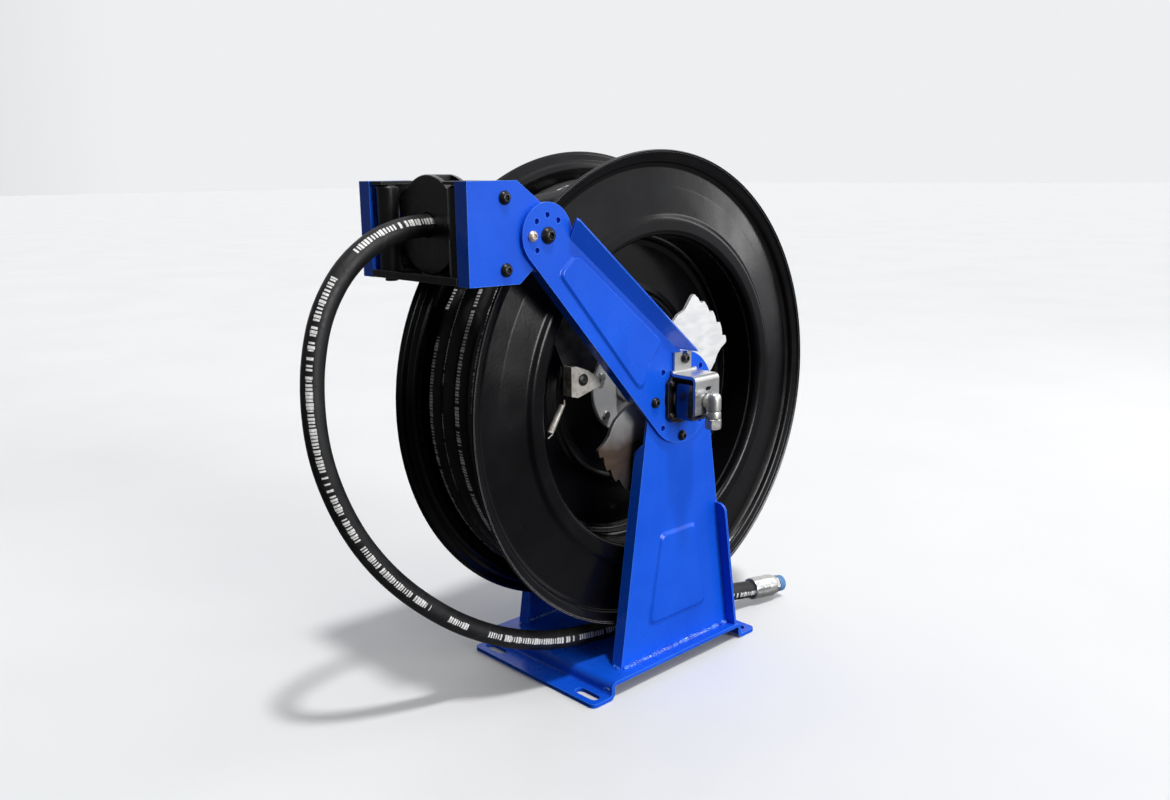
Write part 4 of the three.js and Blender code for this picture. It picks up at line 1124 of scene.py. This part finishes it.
nut = cut(nut, rod(5, 260, 268, "z", (LEG_X, 0), 32))
piece("elbow_hex_nut", nut, "frame", ZINC, "inlet_nut", bevel=0.3)


def stay():
    """A folded strap: a notched tab on the arm, a shelf over the swivel and a face in front of it."""
    fold = [(85.8, AXLE_Z + 47), (85.8, AXLE_Z + 24.9), (115.5, AXLE_Z + 24.9), (115.5, AXLE_Z - 12)]
    strap = prism(thickened(filleted(fold, 4, closed=False, steps=6), 3), -18, 18, "y")
    return cut(
        strap, drill(3.4, (0, AXLE_Z + 40), 32), drill(8.4, AXLE, 48),
        block(80, 88, -19, -15, AXLE_Z + 29, AXLE_Z + 50), block(80, 88, 10, 19, AXLE_Z + 29, AXLE_Z + 50),
        block(80, 90, -3.4, 3.4, AXLE_Z + 40, AXLE_Z + 50),
        prism(slot(1.5, AXLE_Z + 13, 1.9, 2.5, 8), 110, 120),
    )


piece("stay_bracket_folded", stay(), "frame", ZINC, "stay_bracket", angle=45)


LEADING_SIDE = [(1.6, 49, 6), (8.7, 65, 6), (12, 74, 6), (16.5, 82, 5), (20, 87, 5), (22.5, 95, 3)]
TRAILING_SIDE = [(70.5, 88, 5), (76.8, 81, 6), (80, 75, 6), (92, 65, 12), (112, 54, 12), (140, 49, 12)]


def ratchet():
    points, rounds = [], []

    def corner(degrees, radius, rounding):
        points.append(polar(degrees, radius))
        rounds.append(rounding)

    for lobe in (0, 180):
        for degrees, radius, rounding in LEADING_SIDE:
            corner(lobe + degrees, radius, rounding)
        for i in range(5):
            tip = lobe + 27.5 + i * 9.7
            corner(tip - 4, 105.8, 3)
            corner(tip, 107.3, 1.6)
            corner(tip + 1.4, 102.8, 0.8)
        for degrees, radius, rounding in TRAILING_SIDE:
            corner(lobe + degrees, radius, rounding)
    plate = prism(filleted(points, rounds, steps=4), RATCHET_X, RATCHET_X + 4)
    holes = [drill(3, spot) for spot in arc(*AXLE, 36, 45, 315, 3)]
    return cut(plate, drill(17.7, AXLE, 96), *holes)


piece("ratchet_plate_cut", ratchet(), "frame", LAPPED, "ratchet_plate", bevel=0.35)

pawl_outline = [(-87, 22), (-91, 29), (-105, 38), (-121, 44)]
pawl_outline += [(-127, 44), (-127, 15.5), (-119, 13.5), (-112, 15)]
pawl_shape = filleted(from_axle(pawl_outline), [1, 3, 6, 4, 0.3, 0.3, 4, 6])
tail = filleted(from_axle([(-127, 15.5), (-124, 15.5), (-124, 44), (-127, 44)]), 0.1)
pawl = union(prism(pawl_shape, PAWL_X, PAWL_X + 4), prism(tail, 46, 57))
pawl = cut(pawl, drill(4.3, PAWL_PIVOT, 32), rod(1.6, -130, -120, "y", (SPRING_X, AXLE_Z + 19.5), 20))
piece("ratchet_pawl_plate", pawl, "pawl", STAINED, "ratchet_pawl", bevel=0.4)
bracket_outline = arc(*AXLE, 158.6, 130, 152, 16)
bracket_outline += from_axle([(-126, 44), (-119, 19), (-103, 19), (-89, 31), (-77, 46)])
bracket = union(prism(bracket_outline, 42, 45), rod(9, 44, PAWL_X - 0.4, "x", PAWL_PIVOT, 48))
bracket = cut(bracket, rod(4, 40, 60, "x", PAWL_PIVOT, 32))
piece("pawl_bracket_plate", bracket, "drum", OXIDE, "pawl_bracket", bevel=0.5)
pin = moved(button_screw(6, 1.8, 3.8, 15.2, 0.4), PAWL_X + 4.3, *PAWL_PIVOT)
piece("pawl_pivot_pin", pin, "drum", OXIDE, "pawl_pin", bevel=0.25)


def coil_spring(start, end, radius, turns):
    """A wire that leaves one hook, winds round the line between them and reaches the other."""
    run = end - start
    cross = run.orthogonal().normalized()
    rise = run.normalized().cross(cross)
    points = [start]
    steps = turns * 14
    for i in range(steps + 1):
        t = 2 * math.pi * i / 14
        share = 0.14 + 0.72 * i / steps
        points.append(start + run * share + cross * (radius * math.cos(t)) + rise * (radius * math.sin(t)))
    return pipe(points + [end], 0.7, 8)


hooks = [Vector((SPRING_X, -151, AXLE_Z - 22)), Vector((SPRING_X, -129.5, AXLE_Z + 12))]
piece("pawl_spring_coil", coil_spring(*hooks, 2.3, 26), "drum", STAINED, "pawl_spring", bevel=0)

# ---- drum


def drum_sheet(line, bend, side=1):
    profile = thickened(filleted(line, bend, closed=False, steps=6), SHEET)
    return turned([(DRUM_X + side * x, r) for x, r in profile], sides=192, ring=True)


DISC = [
    (51, 161), (58.5, 161), (61, 164.5), (61, 176), (57.5, 181), (52.6, 207), (52.1, 209),
    (49, 227), (50.6, 231.5), (54.5, 233.5), (56, 240.5), (58.2, 243.2), (60, 242.2),
]
DISC_BENDS = [0, 4, 4, 6, 8, 3, 3, 4, 4, 4, 3, 1.6, 0]
for name, side in SIDES.items():
    disc = drum_sheet(DISC, DISC_BENDS, side)
    piece(f"{name}_disc_pressing", disc, "drum", BLACK, f"{name}_disc", bevel=0, smooth=50)
shell = drum_sheet([(-50, 161), (50, 161)], 0)
piece("barrel_sheet", shell, "drum", BLACK, "drum_barrel", bevel=0, smooth=50)
web_line = [(5, 17.6), (5, 88), (6, 94), (8, 99), (6, 104), (5, 110), (5, 150), (7.5, 156), (14, 158.2)]
piece("drum_web_pressing", drum_sheet(web_line, 5), "drum", BLACK, "drum_web", bevel=0, smooth=50)
canister_line = [(3.6, 109), (-45, 109), (-45, 70), (-42.5, 66), (-42.5, 40), (-45, 36), (-45, 15)]
canister = drum_sheet(canister_line, 4)
piece("spring_canister_pressing", canister, "drum", BLACK, "spring_canister", bevel=0, smooth=50)
hub = [(-26, 8), (-26, 16.2), (-25.2, 17), (88.2, 17), (89, 16.2)]
hub += [(89, 10), (101.4, 10), (102, 9.4), (102, 8)]
piece("hub_shaft_turned", turned(hub, sides=96, ring=True), "drum", ZINC, "hub_shaft", bevel=0)
hub_flange = [(2.3, 17.3), (2.3, 49.2), (3.1, 50), (6.5, 50), (7.3, 49.2), (7.3, 17.3)]
piece("hub_flange_turned", turned(hub_flange, sides=96, ring=True), "drum", PALE, "hub_flange", bevel=0)
for i in range(6):
    screw = moved(hex_screw(), 7.4, *polar(38 + 60 * i, 42))
    piece(f"hub_flange_screw_{i + 1}", screw, "drum", ZINC, bevel=0.25)
riser = [(159.2, 7), (150, 7), (149.6, 8.8), (141, 8.8), (140.6, 7), (17.4, 7)]
riser = turned([(AXLE_Z - depth, r) for depth, r in riser], "z", (30, 0), 48)
piece("outlet_riser", riser, "drum", ZINC, "outlet_pipe", bevel=0)


def strip_spiral():
    """The power spring's strip, thirteen turns of it from the anchor out to the canister."""
    verts, faces = [], []
    steps = 13 * 40
    for i in range(steps + 1):
        turn = 2 * math.pi * i / 40
        for r in (37 + 60 * i / steps, 38 + 60 * i / steps):
            verts += [(x, r * math.cos(turn), AXLE_Z + r * math.sin(turn)) for x in (-42, -8)]
    for a in range(0, steps * 4, 4):
        faces += [[a + j, a + k, a + 4 + k, a + 4 + j] for j, k in ((0, 1), (1, 3), (3, 2), (2, 0))]
    faces += [[0, 1, 3, 2], [steps * 4 + k for k in (2, 3, 1, 0)]]
    return raw(verts, faces)


piece("power_spring_strip", strip_spiral(), "drum", SPRING, "power_spring", bevel=0)

# ---- stage and light

bpy.ops.mesh.primitive_plane_add(size=60, location=(0, 0, -0.0005))
floor = bpy.context.object
floor.name = "studio_floor"
floor.data.materials.append(pale_floor())
floor.visible_diffuse = False
floor.visible_glossy = False


def lamp(name, kind, energy, direction, **settings):
    """A light that shines along direction."""
    data = bpy.data.lights.new(name, kind)
    data.energy = energy
    for key, value in settings.items():
        setattr(data, key, value)
    made = bpy.data.objects.new(name, data)
    bpy.context.collection.objects.link(made)
    made.rotation_euler = Vector(direction).to_track_quat("-Z", "Y").to_euler()
    return made


lamp("high_key", "SUN", 1.9, (-0.335, 0.035, -0.94), angle=math.radians(5))
lamp("side_fill", "SUN", 2.0, (-0.95, -0.12, -0.2), angle=math.radians(25))
STRIP_PLACE = Vector((0.9, 2.0, 1.2))
STRIP_TARGET = Vector((0, 0, 0.3))
strip = lamp("rear_strip", "AREA", 8, STRIP_TARGET - STRIP_PLACE, shape="RECTANGLE", size=0.4, size_y=1.6)
strip.location = STRIP_PLACE

# The sky is darker in front of the reel than behind it, and darker still below the horizon.
world = bpy.data.worlds.new("pale_studio")
world.use_nodes = True
sky = world.node_tree
heading = sky.nodes.new("ShaderNodeSeparateXYZ")
sky.links.new(sky.nodes.new("ShaderNodeTexCoord").outputs["Generated"], heading.inputs[0])
strength = sky.nodes.new("ShaderNodeMath")
strength.operation = "MULTIPLY"
LIMITS = ("From Min", "From Max", "To Min", "To Max")
for i, axis, values in ((0, "Y", (-0.55, 0.35, 0.14, 0.9)), (1, "Z", (-0.16, -0.05, 0.22, 1.0))):
    ramp = sky.nodes.new("ShaderNodeMapRange")
    for limit, value in zip(LIMITS, values):
        ramp.inputs[limit].default_value = value
    sky.links.new(heading.outputs[axis], ramp.inputs["Value"])
    sky.links.new(ramp.outputs[0], strength.inputs[i])
sky.links.new(strength.outputs[0], sky.nodes["Background"].inputs["Strength"])
sky.nodes["Background"].inputs["Color"].default_value = (0.95, 0.96, 0.98, 1)
bpy.context.scene.world = world
bpy.context.scene.view_settings.view_transform = "Standard"
